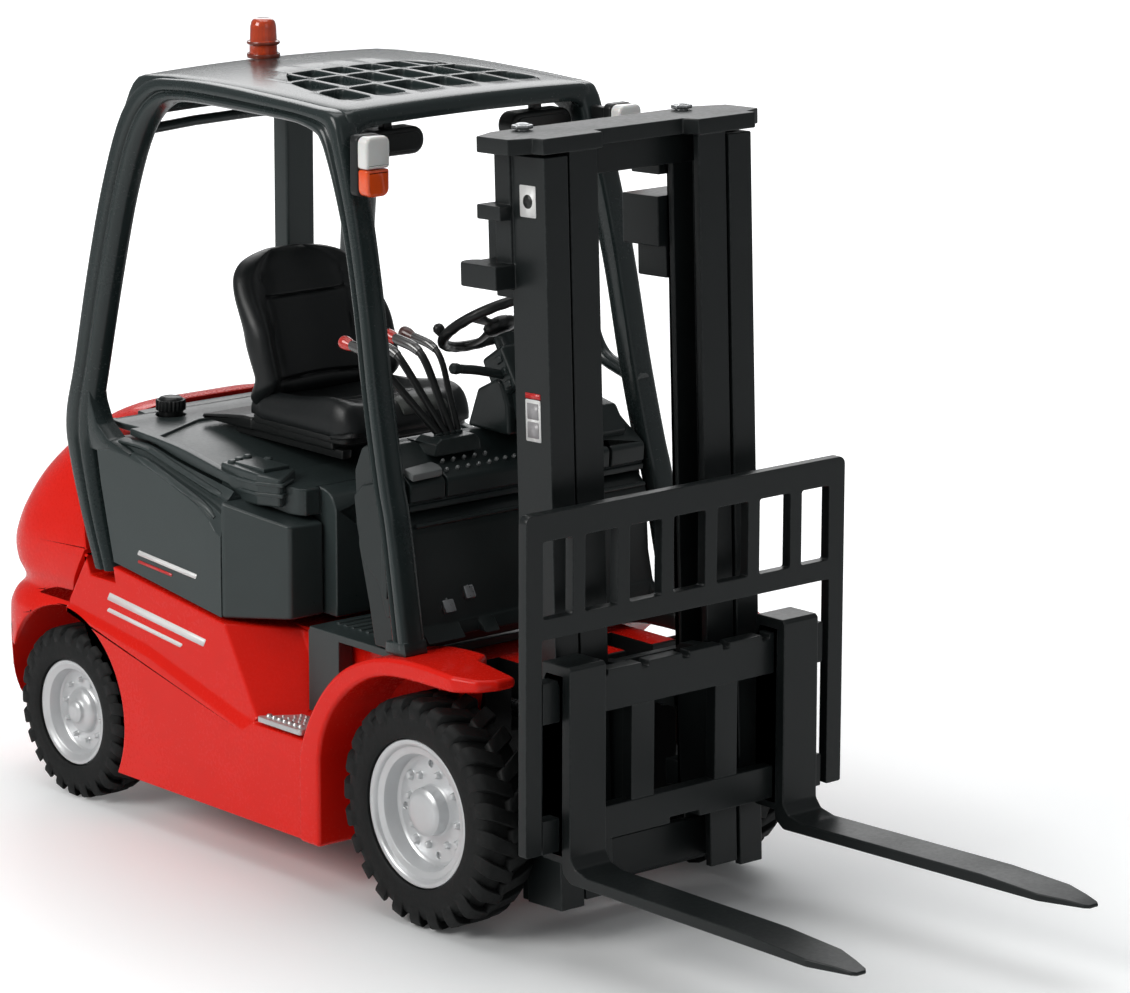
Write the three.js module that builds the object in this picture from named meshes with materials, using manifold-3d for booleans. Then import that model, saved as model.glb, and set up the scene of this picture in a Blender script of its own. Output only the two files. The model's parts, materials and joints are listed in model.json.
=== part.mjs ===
// Toy counterbalance forklift, 1:25, built as separate pieces.
// Millimetres, +Z up, ground at z = 0. Forward (the way the forks point) is -Y and the
// driver's right-hand side is -X. Shapes are drawn from the point on the ground under the
// middle of the front axle; the finished object has its origin at the middle of its length.
import * as THREE from 'three';
import { mergeVertices } from 'three/addons/utils/BufferGeometryUtils.js';
import Module from 'manifold-3d';

const wasm = await Module();
wasm.setup();

const DEG = Math.PI / 180;
const SIDES = ['right', 'left'];

// ---------------------------------------------------------------- driving dimensions
const WHEELBASE = 66.8;
const ORIGIN_Y = 10.5;                  // middle of the overall length, behind the front axle
const AXLE_RADIUS = 1.2;                // front axle
const AXLE_CLEARANCE = 0.09;            // between the front axle and its hole in the body
const SPINDLE_RADIUS = 0.95;            // stub axle of a steered wheel
const FRONT_WHEEL = {
  y: 0, radius: 13.2, width: 7.3, outerX: 22.9,
  rimRadius: 8.5, rimWidth: 7.3, bore: AXLE_RADIUS + 0.06, tyreSegments: 26,
};
const REAR_WHEEL = {
  y: WHEELBASE, radius: 10.6, width: 6.0, outerX: 22.1,
  rimRadius: 6.5, rimWidth: 5.4, bore: SPINDLE_RADIUS + 0.07, tyreSegments: 24,
};
const BODY_X = 22.3;                    // half width over the side panels
const TUB_X = 14.4;                     // half width between the front wheels

// the mast's own frame is upright; the mast then leans back about a point at TILT_REF_Z
const MAST_TILT = 2.24 * DEG, TILT_REF_Z = 8.0;
const MAST_OUT = 15.05, MAST_FRONT = -15.85, MAST_REAR = -10.1, MAST_TOP = 88.8;
const OUTER_MAST_TOP = MAST_TOP - 2.1;
const PIVOT_Y = -7.5, PIVOT_Z = 9.0;         // mast foot pivot, in the mast's own frame
const TILT_PIN_Y = -7.0, TILT_PIN_Z = 23.0;  // tilt-rod pin, in the mast's own frame
const TILT_ROD_X = 8.5;
const LIFT_X = 11.6, LIFT_Y = -8.3;          // lift cylinder centre

const BAR_Y0 = -19.4, BAR_Y1 = -17.6;   // carriage bars, front and rear face
const FORK_X = 15.8, FORK_WIDTH = 5.2, FORK_TIP_Y = -63.6;
const FORK_HEEL_Y = -21.2;              // front face of the fork shank
const FORK_SPLAY = 0.07;                // sideways drift of the left blade per mm of length
const BACKREST_X = 23.5, BACKREST_TOP = 50.6, BACKREST_PITCH = 6.4;
const KINGPIN_X = 13.4, KINGPIN_RADIUS = 0.93;
const TIE_ARM = 4.8;                    // tie rod, ahead of the rear axle
const BEACON_X = -0.4, BEACON_Y = 55.2;
const CAP_X = -10.2, CAP_Y = 61.4;      // fuel filler cap

// ---------------------------------------------------------------- materials
const RED = { color: 0xd8261c, roughness: 0.25 };
const GREY = { color: 0x3a4444, roughness: 0.42 };
const BLACK = { color: 0x191d1e, roughness: 0.5 };
const RUBBER = { color: 0x141414, roughness: 0.85 };
const SILVER = { color: 0xc9cbcc, roughness: 0.3, metalness: 0.85 };
const STEEL = { color: 0x8f9396, roughness: 0.35, metalness: 0.9 };
const BEACON_ORANGE = { color: 0xd23a12, roughness: 0.2, transparent: true, opacity: 0.8 };
const MARKER_WHITE = { color: 0xe9e9e6, roughness: 0.2 };
const INDICATOR_ORANGE = { color: 0xe0461a, roughness: 0.2 };

// ---------------------------------------------------------------- solids
function solid(geometry) {
  const bare = geometry.index ? geometry.toNonIndexed() : geometry.clone();
  for (const name of Object.keys(bare.attributes)) {
    if (name !== 'position') bare.deleteAttribute(name);
  }
  const merged = mergeVertices(bare, 1e-4);
  const index = merged.index.array;
  const triangles = [];
  for (let i = 0; i < index.length; i += 3) {
    const [a, b, c] = index.slice(i, i + 3);
    if (a !== b && b !== c && c !== a) triangles.push(a, b, c);
  }
  return new wasm.Manifold(new wasm.Mesh({
    numProp: 3,
    vertProperties: new Float32Array(merged.attributes.position.array),
    triVerts: new Uint32Array(triangles),
  }));
}

function toGeometry(piece) {
  const mesh = piece.getMesh();
  const geometry = new THREE.BufferGeometry();
  const positions = new Float32Array(mesh.vertProperties);
  geometry.setAttribute('position', new THREE.BufferAttribute(positions, 3));
  geometry.setIndex(new THREE.BufferAttribute(new Uint32Array(mesh.triVerts), 1));
  return geometry;
}

const join = (...parts) => parts.reduce((sum, part) => sum.add(part));
const cut = (piece, ...tools) => tools.reduce((rest, tool) => rest.subtract(tool), piece);
const mirrorX = (piece) => piece.mirror([1, 0, 0]);
const bothSides = (piece) => join(piece, mirrorX(piece));
// a piece drawn on the right (or left), as it is on the given side
const fromRight = (side, piece) => (side === 'right' ? piece : mirrorX(piece));
const fromLeft = (side, piece) => (side === 'left' ? piece : mirrorX(piece));

function box(x0, x1, y0, y1, z0, z1) {
  const geometry = new THREE.BoxGeometry(x1 - x0, y1 - y0, z1 - z0);
  return solid(geometry.translate((x0 + x1) / 2, (y0 + y1) / 2, (z0 + z1) / 2));
}
// rows of x0, x1, y0, y1, z0, z1
const boxes = (rows) => join(...rows.map((row) => box(...row)));

function extrude(outline, depth) {
  const shape = new THREE.Shape(outline.map(([a, b]) => new THREE.Vector2(a, b)));
  return new THREE.ExtrudeGeometry(shape, { depth, bevelEnabled: false, steps: 1 });
}
// outline in (y, z), swept along x
function extrudeX(outline, x0, x1) {
  const turn = new THREE.Matrix4().set(0, 0, 1, x0, 1, 0, 0, 0, 0, 1, 0, 0, 0, 0, 0, 1);
  return extrude(outline, x1 - x0).applyMatrix4(turn);
}
const prismX = (outline, x0, x1) => solid(extrudeX(outline, x0, x1));
// outline in (x, z), swept along y
function prismY(outline, y0, y1) {
  const turn = new THREE.Matrix4().set(1, 0, 0, 0, 0, 0, -1, y1, 0, 1, 0, 0, 0, 0, 0, 1);
  return solid(extrude(outline, y1 - y0).applyMatrix4(turn));
}
// outline in (x, y), swept along z
const prismZ = (outline, z0, z1) => solid(extrude(outline, z1 - z0).translate(0, 0, z0));
// closes half an outline with its mirror image in x
const symmetric = (half) => [...half, ...[...half].reverse().map(([x, other]) => [-x, other])];

function cylX(y, z, radius, x0, x1, segments) {
  const geometry = new THREE.CylinderGeometry(radius, radius, x1 - x0, segments);
  return solid(geometry.rotateZ(Math.PI / 2).translate((x0 + x1) / 2, y, z));
}
function cylY(x, z, radius, y0, y1, segments) {
  const geometry = new THREE.CylinderGeometry(radius, radius, y1 - y0, segments);
  return solid(geometry.translate(x, (y0 + y1) / 2, z));
}
function cylZ(x, y, radius, z0, z1, segments, topRadius = radius) {
  const geometry = new THREE.CylinderGeometry(topRadius, radius, z1 - z0, segments);
  return solid(geometry.rotateX(Math.PI / 2).translate(x, y, (z0 + z1) / 2));
}
// closed profile of (radius, x) turned about the x axis through (y, z)
function turnX(profile, y, z, segments) {
  const points = profile.map(([radius, x]) => new THREE.Vector2(radius, x));
  const geometry = new THREE.LatheGeometry([...points, points[0]], segments);
  geometry.rotateZ(-Math.PI / 2).translate(0, y, z);
  const turned = solid(geometry);
  if (turned.volume() >= 0) return turned;
  geometry.index.array.reverse();       // inside out, so flip every face
  return solid(geometry);
}
// six-sided bar along a smooth path
function sweep(points, radius, steps) {
  const path = points.map((point) => new THREE.Vector3(...point));
  const extrudePath = new THREE.CatmullRomCurve3(path, false, 'centripetal');
  const corners = [];
  for (let i = 0; i < 6; i++) {
    const angle = 2 * Math.PI * i / 6;
    corners.push(new THREE.Vector2(radius * Math.cos(angle), radius * Math.sin(angle)));
  }
  const options = { steps, extrudePath, bevelEnabled: false };
  return solid(new THREE.ExtrudeGeometry(new THREE.Shape(corners), options));
}

// a point of the mast's own frame, as (y, z) after the lean
function mastPoint(y, z) {
  const rise = z - TILT_REF_Z, cos = Math.cos(MAST_TILT), sin = Math.sin(MAST_TILT);
  return [y * cos + rise * sin, TILT_REF_Z - y * sin + rise * cos];
}
const [PIVOT_BODY_Y, PIVOT_BODY_Z] = mastPoint(PIVOT_Y, PIVOT_Z);
const [ROD_Y, ROD_Z] = mastPoint(TILT_PIN_Y, TILT_PIN_Z);

// ---------------------------------------------------------------- lower body
// rear wheel arch, and the wider pocket that gives the steered wheel room
const ARCH_Y = 67.7, ARCH_Z = 11.3, ARCH_RADIUS = 12.3;
const POCKET_RADIUS = 14.3, POCKET_IN = 10.8, POCKET_OUT = 21.2;
const archCylinder = (radius, x0, x1) => cylX(ARCH_Y, ARCH_Z, radius, x0, x1, 28);
const steerPockets = () => bothSides(archCylinder(POCKET_RADIUS, -POCKET_OUT, -POCKET_IN));

// (y, z) recess for the foot of the guard's rear leg
const REAR_LEG_RECESS = [
  [57.4, 28.6], [62.4, 28.6], [64.9, 35.2], [67.4, 42.6], [68.1, 49.5], [58.2, 49.5],
  [58.2, 44.6], [61.0, 44.0], [60.3, 40.2],
];
const rearLegRecesses = () => bothSides(prismX(REAR_LEG_RECESS, -23, -18.1));

// (y, z) front fender band: outer edge up and forward, then the inner edge back
const FENDER_SIDE = [
  [20.8, 5.3], [20.8, 15.5], [20.0, 18.0], [18.4, 21.2], [16.0, 24.4], [13.0, 27.0],
  [9.5, 28.8], [5.5, 30.0], [0.5, 30.5], [-4.5, 30.4], [-10.8, 30.1],
  [-10.8, 28.8], [-6.0, 28.3], [0.5, 28.2], [4.5, 28.0], [7.6, 27.2], [10.4, 25.8],
  [12.9, 23.9], [14.9, 21.6], [16.4, 18.8], [17.1, 15.8], [17.1, 5.3],
];
// (x, y) right fender from above
const FENDER_PLAN = [
  [-22.9, 21], [-22.9, -6.6], [-21.6, -9.4], [-19.6, -10.6], [-17.0, -10.6],
  [-16.2, -3.5], [-14.0, -2.2], [-14.0, 21],
];
// (y, z) side panel
const PANEL_SIDE = [
  [20.4, 5.3], [57, 5.3], [61, 9], [66.9, 12], [66.9, 24.7], [63.6, 30.0], [63.3, 30.9],
  [56.9, 30.4], [36.4, 27.8], [25, 26.4], [20.4, 17.4],
];

// everything in front of the slanted return face of the right side panel, above the step
function slopedFaceTool() {
  const bottom = 17.2;
  const top = new THREE.Vector3(-BODY_X, 36.4, 27.8);
  const outerFoot = new THREE.Vector3(-BODY_X, 30.0, bottom);
  const innerFoot = new THREE.Vector3(-17.2, 26.5, bottom);
  const normal = outerFoot.sub(top).cross(innerFoot.sub(top)).normalize();
  const turn = new THREE.Quaternion().setFromUnitVectors(new THREE.Vector3(0, 0, 1), normal);
  const block = new THREE.BoxGeometry(60, 60, 40).translate(0, 0, 20);
  block.applyQuaternion(turn).translate(top.x, top.y, top.z);
  return solid(block).intersect(box(-30, -14.6, 10, 37, bottom, 40));
}

function redBody() {
  const inner = -14.0;
  const fender = prismX(FENDER_SIDE, -22.9, inner).intersect(prismZ(FENDER_PLAN, 0, 60));
  const panel = cut(prismX(PANEL_SIDE, -BODY_X, inner), slopedFaceTool());
  const tub = box(-TUB_X, TUB_X, -2.2, 59, 6, 27.4);
  const centreCuts = boxes([
    [-12.4, 12.4, 4.5, 57, 3, 25.8],            // inside of the tub
    [-12.6, 12.6, 56, 80, 4.5, 16.5],           // rear axle bay
    [-3, 3, -4, 5, 8, 10.5],                    // slot in the tub's front wall
    [-17.7, 17.7, 8.1, 26.7, 27.4, 33],         // floor plate seat
  ]);
  const sideCuts = boxes([
    [-23.5, -12.8, 55.5, 70, 31.0, 40],         // above the rear of the side panel
    [-10.6, -6.4, -4, 5, ROD_Z - 2.2, 28],      // tilt rod passage
    [-17.2, -14.5, 20.5, 26.7, 18.3, 29],       // for the floor plate's downturned end
  ]);
  const body = cut(join(bothSides(join(fender, panel)), tub),
    centreCuts, bothSides(sideCuts),
    archCylinder(ARCH_RADIUS, -25, 25), steerPockets(), rearLegRecesses(),
    cylX(0, FRONT_WHEEL.radius, AXLE_RADIUS + AXLE_CLEARANCE, -30, 30, 20));
  // lugs that carry the mast pivot pin
  const lugRadius = 1.7, x0 = -6.2, x1 = -4.2;
  const lug = join(
    box(x0, x1, PIVOT_BODY_Y, -1.9, PIVOT_BODY_Z - lugRadius, PIVOT_BODY_Z + lugRadius),
    cylX(PIVOT_BODY_Y, PIVOT_BODY_Z, lugRadius, x0, x1, 20));
  return cut(join(body, bothSides(lug)), cylX(PIVOT_BODY_Y, PIVOT_BODY_Z, 0.86, -9, 9, 20));
}

// (y, z) counterweight from the side
const COUNTERWEIGHT_SIDE = [
  [59.6, 6.6], [81.0, 6.6], [83.6, 8.6], [84.5, 12], [84.6, 21.3], [83.9, 23.6],
  [83.0, 24.6], [83.0, 25.6], [83.7, 27.0], [83.7, 30], [82.6, 34.2], [80.6, 38.2],
  [78.0, 41.8], [74.5, 44.8], [70.0, 46.7], [65.5, 47.4], [62.2, 47.3], [62.2, 31.4],
  [63.8, 31.4], [64.2, 30.4], [67.3, 25.0], [67.3, 17.0], [59.6, 17.0],
];
// (x, z) left half of the counterweight end-on
const COUNTERWEIGHT_END = [
  [21.6, 6], [22.2, 10], [22.3, 21.6], [21.6, 23.8], [20.9, 24.7], [20.9, 25.7],
  [21.6, 27.2], [21.5, 31], [20.7, 35.5], [19.2, 40], [17.2, 43.6], [14.0, 46.2], [10, 47.4],
];

// side, end-on and plan outlines cut against each other
function counterweight() {
  const cornerRadius = 10, cornerY = 74.7, cornerSteps = 7;
  const plan = [[BODY_X, 55]];
  for (let i = 0; i <= cornerSteps; i++) {
    const angle = i / cornerSteps * Math.PI / 2;
    plan.push([
      BODY_X - cornerRadius + cornerRadius * Math.cos(angle),
      cornerY + cornerRadius * Math.sin(angle),
    ]);
  }
  const block = prismX(COUNTERWEIGHT_SIDE, -22.4, 22.4)
    .intersect(prismY(symmetric(COUNTERWEIGHT_END), 55, 90))
    .intersect(prismZ(symmetric(plan), 0, 60));
  return cut(block,
    bothSides(archCylinder(ARCH_RADIUS, -25, -POCKET_IN)), steerPockets(), rearLegRecesses(),
    box(-12.6, 12.6, 56, 75, 4, 16.8),               // rear axle bay
    cylY(0, 15.5, 1.7, 82, 90, 16),                  // round hole in the rear face
    bothSides(box(-25, -21.0, 78.3, 82, 4, 16.6)),   // upright notches in the flanks
    box(-17.6, 17.6, 60, 65.3, 45.2, 50));           // ledge for the hood's rear edge
}

// silver tread with a row of studs, right side
function stepPlate() {
  const outline = [[-22.2, 21.2], [-17.6, 21.2], [-17.6, 26.4], [-22.2, 29.6]];
  const studs = [0, 1, 2, 3].map((i) => cylZ(-21.2, 22.6 + i * 1.7, 0.35, 18.1, 18.45, 8));
  return join(prismZ(outline, 17.5, 18.2), ...studs);
}

// plate that closes the tub from below
const basePlate = () => box(-12.0, 12.0, 6.0, 55.0, 5.0, 6.0);

// ---------------------------------------------------------------- covers and hood
// (y, z) side cover
const COVER_SIDE = [
  [28.5, 29.0], [36.6, 28.2], [56.9, 30.8], [60.6, 31.2], [61.8, 31.4], [61.8, 44.6],
  [58.7, 44.6], [48.9, 43.6], [40.9, 41.4], [37.5, 39.8], [32, 39.5], [28.5, 39.0],
];
// (x, y) right side cover from above
const COVER_PLAN = [[-21.4, 62], [-21.4, 37.4], [-17.3, 28.4], [-12.9, 28.4], [-12.9, 62]];

function sideCover() {
  const cover = prismX(COVER_SIDE, -21.4, -12.9).intersect(prismZ(COVER_PLAN, 20, 60));
  return cut(cover, rearLegRecesses());
}

// (y, z) middle of the hood
const HOOD_MIDDLE = [
  [26.5, 28.8], [61.8, 28.8], [61.8, 46.4], [55.5, 46.8], [47, 46.2], [38, 44.6],
  [29.0, 43.8], [26.5, 42.4],
];
// (y, z) wide upper deck that overlaps the side covers
const HOOD_DECK = [
  [29.2, 40.2], [31, 40.2], [37.4, 40.4], [41.0, 41.9], [49.0, 44.1], [57.8, 45.1],
  [61.8, 45.1], [61.8, 46.4], [55.5, 46.8], [47, 46.2], [38, 44.6], [29.2, 43.6],
];
// (x, y) right half of the deck from above
const HOOD_DECK_PLAN = [[-18.6, 61.8], [-19.0, 50], [-18.8, 38.6], [-15.6, 30.2]];
// (y, z) lip that lies on the counterweight
const HOOD_LIP = [[61.0, 45.6], [65.0, 45.6], [65.0, 47.0], [61.0, 47.2]];

function hood() {
  const deck = prismX(HOOD_DECK, -19.2, 19.2)
    .intersect(prismZ(symmetric(HOOD_DECK_PLAN), 20, 60));
  const shell = join(prismX(HOOD_MIDDLE, -12.6, 12.6), deck, prismX(HOOD_LIP, -17.2, 17.2));
  const hollowed = cut(shell,
    box(-11, 11, 28.5, 60, 27, 41.5),                // engine bay
    bothSides(box(-23, -17.6, 57.9, 70, 40, 52)),    // round the guard's rear legs
    cylZ(CAP_X, CAP_Y, 1.75, 45.9, 49, 16));
  // catch housing on the right front corner
  return join(hollowed, box(-17.6, -12.2, 31.2, 36.6, 42.0, 46.2));
}

const fuelCap = () => join(
  cylZ(CAP_X, CAP_Y, 1.5, 46.2, 49.0, 14),
  cylZ(CAP_X, CAP_Y, 1.85, 47.5, 48.7, 14));

const airIntake = () => boxes([
  [4.3, 8.5, 57.0, 59.7, 47.2, 83.2],    // upright duct
  [3.9, 8.9, 56.7, 60.0, 47.2, 49.4],    // collar on the hood
]);

// ---------------------------------------------------------------- floor, cowl, dash
const floorPlate = () => join(
  box(-16.9, 16.9, 8.6, 26.2, 27.7, 28.6),
  bothSides(box(-16.9, -14.8, 20.8, 26.4, 18.6, 28.2)));

const COWL_X = 17.4;                     // half width of cowl and dash
// (y, z) front cowl
const COWL_SIDE = [
  [3.8, 30.9], [8.4, 30.9], [8.4, 28.9], [13.6, 28.9], [14.6, 33.5], [16.4, 40],
  [16.4, 45.0], [8.2, 45.0], [7.4, 44.2], [6.6, 33.0],
];
const frontCowl = () => cut(prismX(COWL_SIDE, -COWL_X, COWL_X),
  box(-16.2, 16.2, 9.6, 15.2, 27, 43.4));

// (y, z) dash
const DASH_SIDE = [
  [7.2, 45.3], [16.8, 45.3], [17.0, 48.6], [15.6, 51.6], [12.6, 52.0], [9.2, 49.6],
  [7.0, 48.6],
];
const dashPanel = () => join(prismX(DASH_SIDE, -COWL_X, COWL_X), boxes([
  [8.6, COWL_X, 8.0, 13.0, 48.6, 50.6],    // raised block on the left
  [-11.6, -6.2, 9.4, 12.4, 50.5, 52.2],    // block under the levers
]));

// ---------------------------------------------------------------- steering
const COLUMN_LEAN = 33 * DEG;            // back towards the driver
const STEERING_WHEEL_CENTRE = [0, 12.6, 64.0];
const STEERING_WHEEL_RADIUS = 6.7;

// moves a geometry drawn about +y at the origin onto the column axis at the wheel
function onColumn(geometry) {
  const axis = new THREE.Vector3(0, Math.sin(COLUMN_LEAN), Math.cos(COLUMN_LEAN));
  const turn = new THREE.Quaternion().setFromUnitVectors(new THREE.Vector3(0, 1, 0), axis);
  return solid(geometry.applyQuaternion(turn).translate(...STEERING_WHEEL_CENTRE));
}

function steeringColumn() {
  const tube = onColumn(new THREE.CylinderGeometry(1.3, 2.3, 12.6, 16).translate(0, -8.0, 0));
  const stalk = sweep([[-0.8, 8.9, 58.2], [-5.0, 9.1, 59.4], [-9.6, 9.3, 60.4]], 0.62, 3);
  const belowDash = box(-5, 5, -5, 30, 30, 52.2);
  return join(cut(tube, belowDash), stalk);
}

function steeringWheel() {
  const ring = new THREE.TorusGeometry(STEERING_WHEEL_RADIUS, 0.55, 6, 20);
  const hub = new THREE.CylinderGeometry(1.7, 1.9, 1.6, 10).translate(0, -0.5, 0);
  const spokes = [90, 210, 330].map((angle) => {
    const spoke = new THREE.BoxGeometry(5.6, 0.6, 1.2).translate(3.9, -0.2, 0);
    return onColumn(spoke.rotateY(angle * DEG));
  });
  return join(onColumn(ring.rotateX(Math.PI / 2)), onColumn(hub), ...spokes);
}

// hydraulic lever; the four fan out sideways from the dash
function lever(i) {
  const footX = -10.3 + 0.95 * i, topX = -16.6 + 3.15 * i;
  const across = (share) => footX + (topX - footX) * share;
  const bar = sweep([
    [footX, 10.8, 52.75], [across(0.45), 11.9, 56.4], [across(0.93), 13.1, 60.4],
    [topX, 14.9, 61.9], [topX - 0.3, 18.2, 62.6],
  ], 0.42, 7);
  const knob = new THREE.SphereGeometry(1.05, 8, 5).translate(topX - 0.35, 18.9, 62.7);
  return join(bar, solid(knob));
}

// ---------------------------------------------------------------- seat
const seatBase = () => boxes([
  [-9.2, 9.2, 31.5, 49.0, 47.1, 48.4],
  [-7.2, 7.2, 33.0, 46.0, 48.2, 49.2],
]);

// (y, z) cushion
const CUSHION_SIDE = [
  [28.4, 49.4], [46.8, 49.4], [46.8, 52.2], [36, 52.4], [29.4, 53.2], [28.0, 52.0],
];
const seatCushion = () => prismX(CUSHION_SIDE, -9.8, 9.8);

// (y, z) seat back, and (x, z) its left half from the front
const SEAT_BACK_SIDE = [
  [43.6, 52.9], [48.0, 52.9], [48.8, 56.5], [50.6, 61.5], [52.2, 65.6], [51.4, 66.9],
  [49.2, 66.5], [46.2, 60.0], [43.6, 55.5],
];
const SEAT_BACK_END = [[10.2, 52], [10.6, 58], [10.1, 63.5], [8.4, 66.2], [5, 67.2]];
const seatBackrest = () => prismX(SEAT_BACK_SIDE, -11, 11)
  .intersect(prismY(symmetric(SEAT_BACK_END), 40, 56));

// ---------------------------------------------------------------- overhead guard
// (y, z) front leg, rail and rear leg as one band: outer edge, then inner edge back
const GUARD_OUTER = [
  [3.0, 31.0], [5.9, 44.0], [7.3, 49.0], [9.5, 58.0], [11.5, 68.0], [13.4, 76.0],
  [15.2, 82.0], [16.7, 86.2], [17.4, 88.0], [18.6, 88.95], [22.4, 89.15], [28.0, 89.35],
  [40.0, 89.55], [48.6, 89.3], [54.6, 88.3], [58.9, 84.2], [61.9, 75.6], [64.1, 65.0],
  [65.8, 54.0], [67.2, 47.0], [66.6, 42.6], [64.4, 36.0], [61.7, 29.6],
];
const GUARD_INNER = [
  [58.4, 29.6], [60.8, 36.4], [62.4, 43.4], [62.6, 47.0], [61.6, 53.6], [59.7, 64.6],
  [57.6, 74.6], [54.9, 82.0], [51.6, 85.6], [47.5, 86.7], [40.0, 86.9], [28.4, 86.9],
  [24.6, 86.7], [22.0, 86.0], [20.9, 85.1], [19.8, 83.4], [18.0, 79.8], [16.2, 75.2],
  [14.1, 67.4], [12.1, 57.4], [9.9, 48.4], [8.3, 43.4], [5.8, 31.0],
];
// legs lean in towards the roof: half width at baseZ, and loss of it per mm above
const LEG_WIDTH = 3.0;
const FRONT_LEG = { x: 20.0, baseZ: 31, lean: 0.037 };
const REAR_LEG = { x: 20.3, baseZ: 49, lean: 0.079 };   // upright below baseZ
const BLEND_Y = 12, BLEND_LENGTH = 42;                  // front lean blends into rear lean

function guardSide() {
  const band = extrudeX([...GUARD_OUTER, ...GUARD_INNER], -LEG_WIDTH / 2, LEG_WIDTH / 2);
  const points = band.attributes.position;
  for (let i = 0; i < points.count; i++) {
    const y = points.getY(i), z = points.getZ(i);
    const frontX = FRONT_LEG.x - FRONT_LEG.lean * (z - FRONT_LEG.baseZ);
    const rearX = REAR_LEG.x - REAR_LEG.lean * Math.max(0, z - REAR_LEG.baseZ);
    const blend = Math.min(1, Math.max(0, (y - BLEND_Y) / BLEND_LENGTH));
    points.setX(i, points.getX(i) - (frontX * (1 - blend) + rearX * blend));
  }
  return solid(band);
}

// (y, z) roof panel
const ROOF_SIDE = [
  [17.2, 87.1], [17.5, 88.6], [18.8, 89.1], [26, 89.4], [40, 89.6], [56.4, 89.0],
  [58.6, 86.6], [60.4, 84.0], [58.0, 83.6], [55.4, 86.9], [40, 87.7], [26, 87.5],
  [22.0, 87.3], [19.0, 87.1],
];

// roof with three rows of six openings
function guardRoof() {
  let roof = prismX(ROOF_SIDE, -16.6, 16.6);
  for (let row = 0; row < 3; row++) {
    for (let column = 0; column < 6; column++) {
      const x = -12.0 + column * 4.8, y = 27.6 + row * 5.2;
      roof = cut(roof, box(x - 1.7, x + 1.7, y - 1.8, y + 1.8, 84, 92));
    }
  }
  return roof;
}

// (x, y, z) path of the grab handle behind the left front leg
const HANDLE_PATH = [
  [18.8, 9.3, 55.4], [18.8, 13.0, 56.2], [18.75, 15.9, 57.3], [18.6, 17.7, 60.2],
  [18.3, 18.9, 66.0], [18.2, 19.3, 71.0], [18.2, 18.2, 74.0], [18.1, 13.8, 75.4],
];

function overheadGuard() {
  const guard = join(bothSides(guardSide()), guardRoof(), sweep(HANDLE_PATH, 0.95, 12));
  return cut(guard, cylZ(BEACON_X, BEACON_Y, 0.8, 84, 92, 16));
}

// beacon in one moulding; rows of radius, z0, z1, segments, top radius
const BEACON_STACK = [
  [0.5, 87.4, 89.8, 10],        // stud
  [1.7, 89.42, 91.2, 16],       // base
  [1.9, 91.1, 91.5, 16],        // ring
  [1.65, 91.4, 93.8, 16],       // lens
  [1.65, 93.8, 94.3, 16, 1.2],  // tapered top of the lens
];
const beacon = () => join(...BEACON_STACK.map((row) => cylZ(BEACON_X, BEACON_Y, ...row)));

// lamps, right side
const lampHousing = () => boxes([
  [-20.2, -16.8, 13.0, 13.9, 80.4, 87.1],    // back plate
  [-18.2, -17.2, 13.8, 16.3, 85.4, 86.6],    // arm back to the guard
]);
const markerLens = () => box(-20.2, -16.8, 11.0, 12.8, 83.6, 87.1);
const indicatorLens = () => box(-20.1, -16.9, 11.0, 12.8, 80.5, 83.4);

// (x, z) work lamp from the front
const WORK_LAMP_FACE = [
  [-15.4, 84.9], [-15.0, 83.9], [-14.0, 83.4], [-7.8, 83.4], [-6.8, 83.9],
  [-6.4, 84.9], [-6.8, 85.9], [-7.8, 86.4], [-14.0, 86.4], [-15.0, 85.9],
];
const workLamp = () => join(prismY(WORK_LAMP_FACE, 17.9, 20.4),
  box(-11.6, -10.4, 18.6, 19.8, 86.2, 87.0));

// ---------------------------------------------------------------- wheels, left side
const frontAxle = () => cylX(0, FRONT_WHEEL.radius, AXLE_RADIUS, -20.4, 20.4, 24);

function tyre({ y, radius, width, outerX, rimRadius, tyreSegments }) {
  const inner = rimRadius + 0.08, half = width / 2, middle = outerX - half;
  return turnX([
    [inner, middle - half * 0.86], [inner + 0.7, middle - half],
    [radius - 1.4, middle - half], [radius, middle - half * 0.6],
    [radius, middle + half * 0.6], [radius - 1.4, middle + half],
    [inner + 0.7, middle + half], [inner, middle + half * 0.86],
  ], y, radius, tyreSegments);
}

// dished disc with a flange each side and a bored hub
function rim({ y, radius, outerX, rimRadius, rimWidth, bore }) {
  const innerX = outerX - rimWidth, flange = rimRadius - 1.4;
  return turnX([
    [bore, outerX - 1.0], [bore, innerX + 1.6], [rimRadius - 1.6, innerX + 2.2],
    [flange, innerX + 0.4], [rimRadius, innerX + 0.4],
    [rimRadius, outerX - 0.4], [flange, outerX - 0.4],
    [rimRadius - 2.2, outerX - 2.6], [rimRadius * 0.44, outerX - 2.2],
    [rimRadius * 0.42, outerX - 1.0],
  ], y, radius, 18);
}

// ---------------------------------------------------------------- steered rear axle
const REAR_Z = REAR_WHEEL.radius;        // height of the rear axle
const TIE_Y = WHEELBASE - TIE_ARM;
const EYE_RADIUS = 1.7;                  // round ends of beam, tie rod and tilt rod

function rearAxleBeam() {
  const y = WHEELBASE, z = REAR_Z;
  const beam = join(
    box(-12.6, 12.6, y - 1.5, y + 1.5, z - 1.2, z + 1.5),
    bothSides(cylZ(-KINGPIN_X, y, EYE_RADIUS, z - 1.2, z + 1.5, 14)),
    box(-3, 3, y - 2.4, y + 2.4, z - 1.4, 16.0));    // middle block
  return cut(beam, bothSides(cylZ(-KINGPIN_X, y, KINGPIN_RADIUS + 0.07, z - 3, z + 3, 24)));
}

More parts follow.
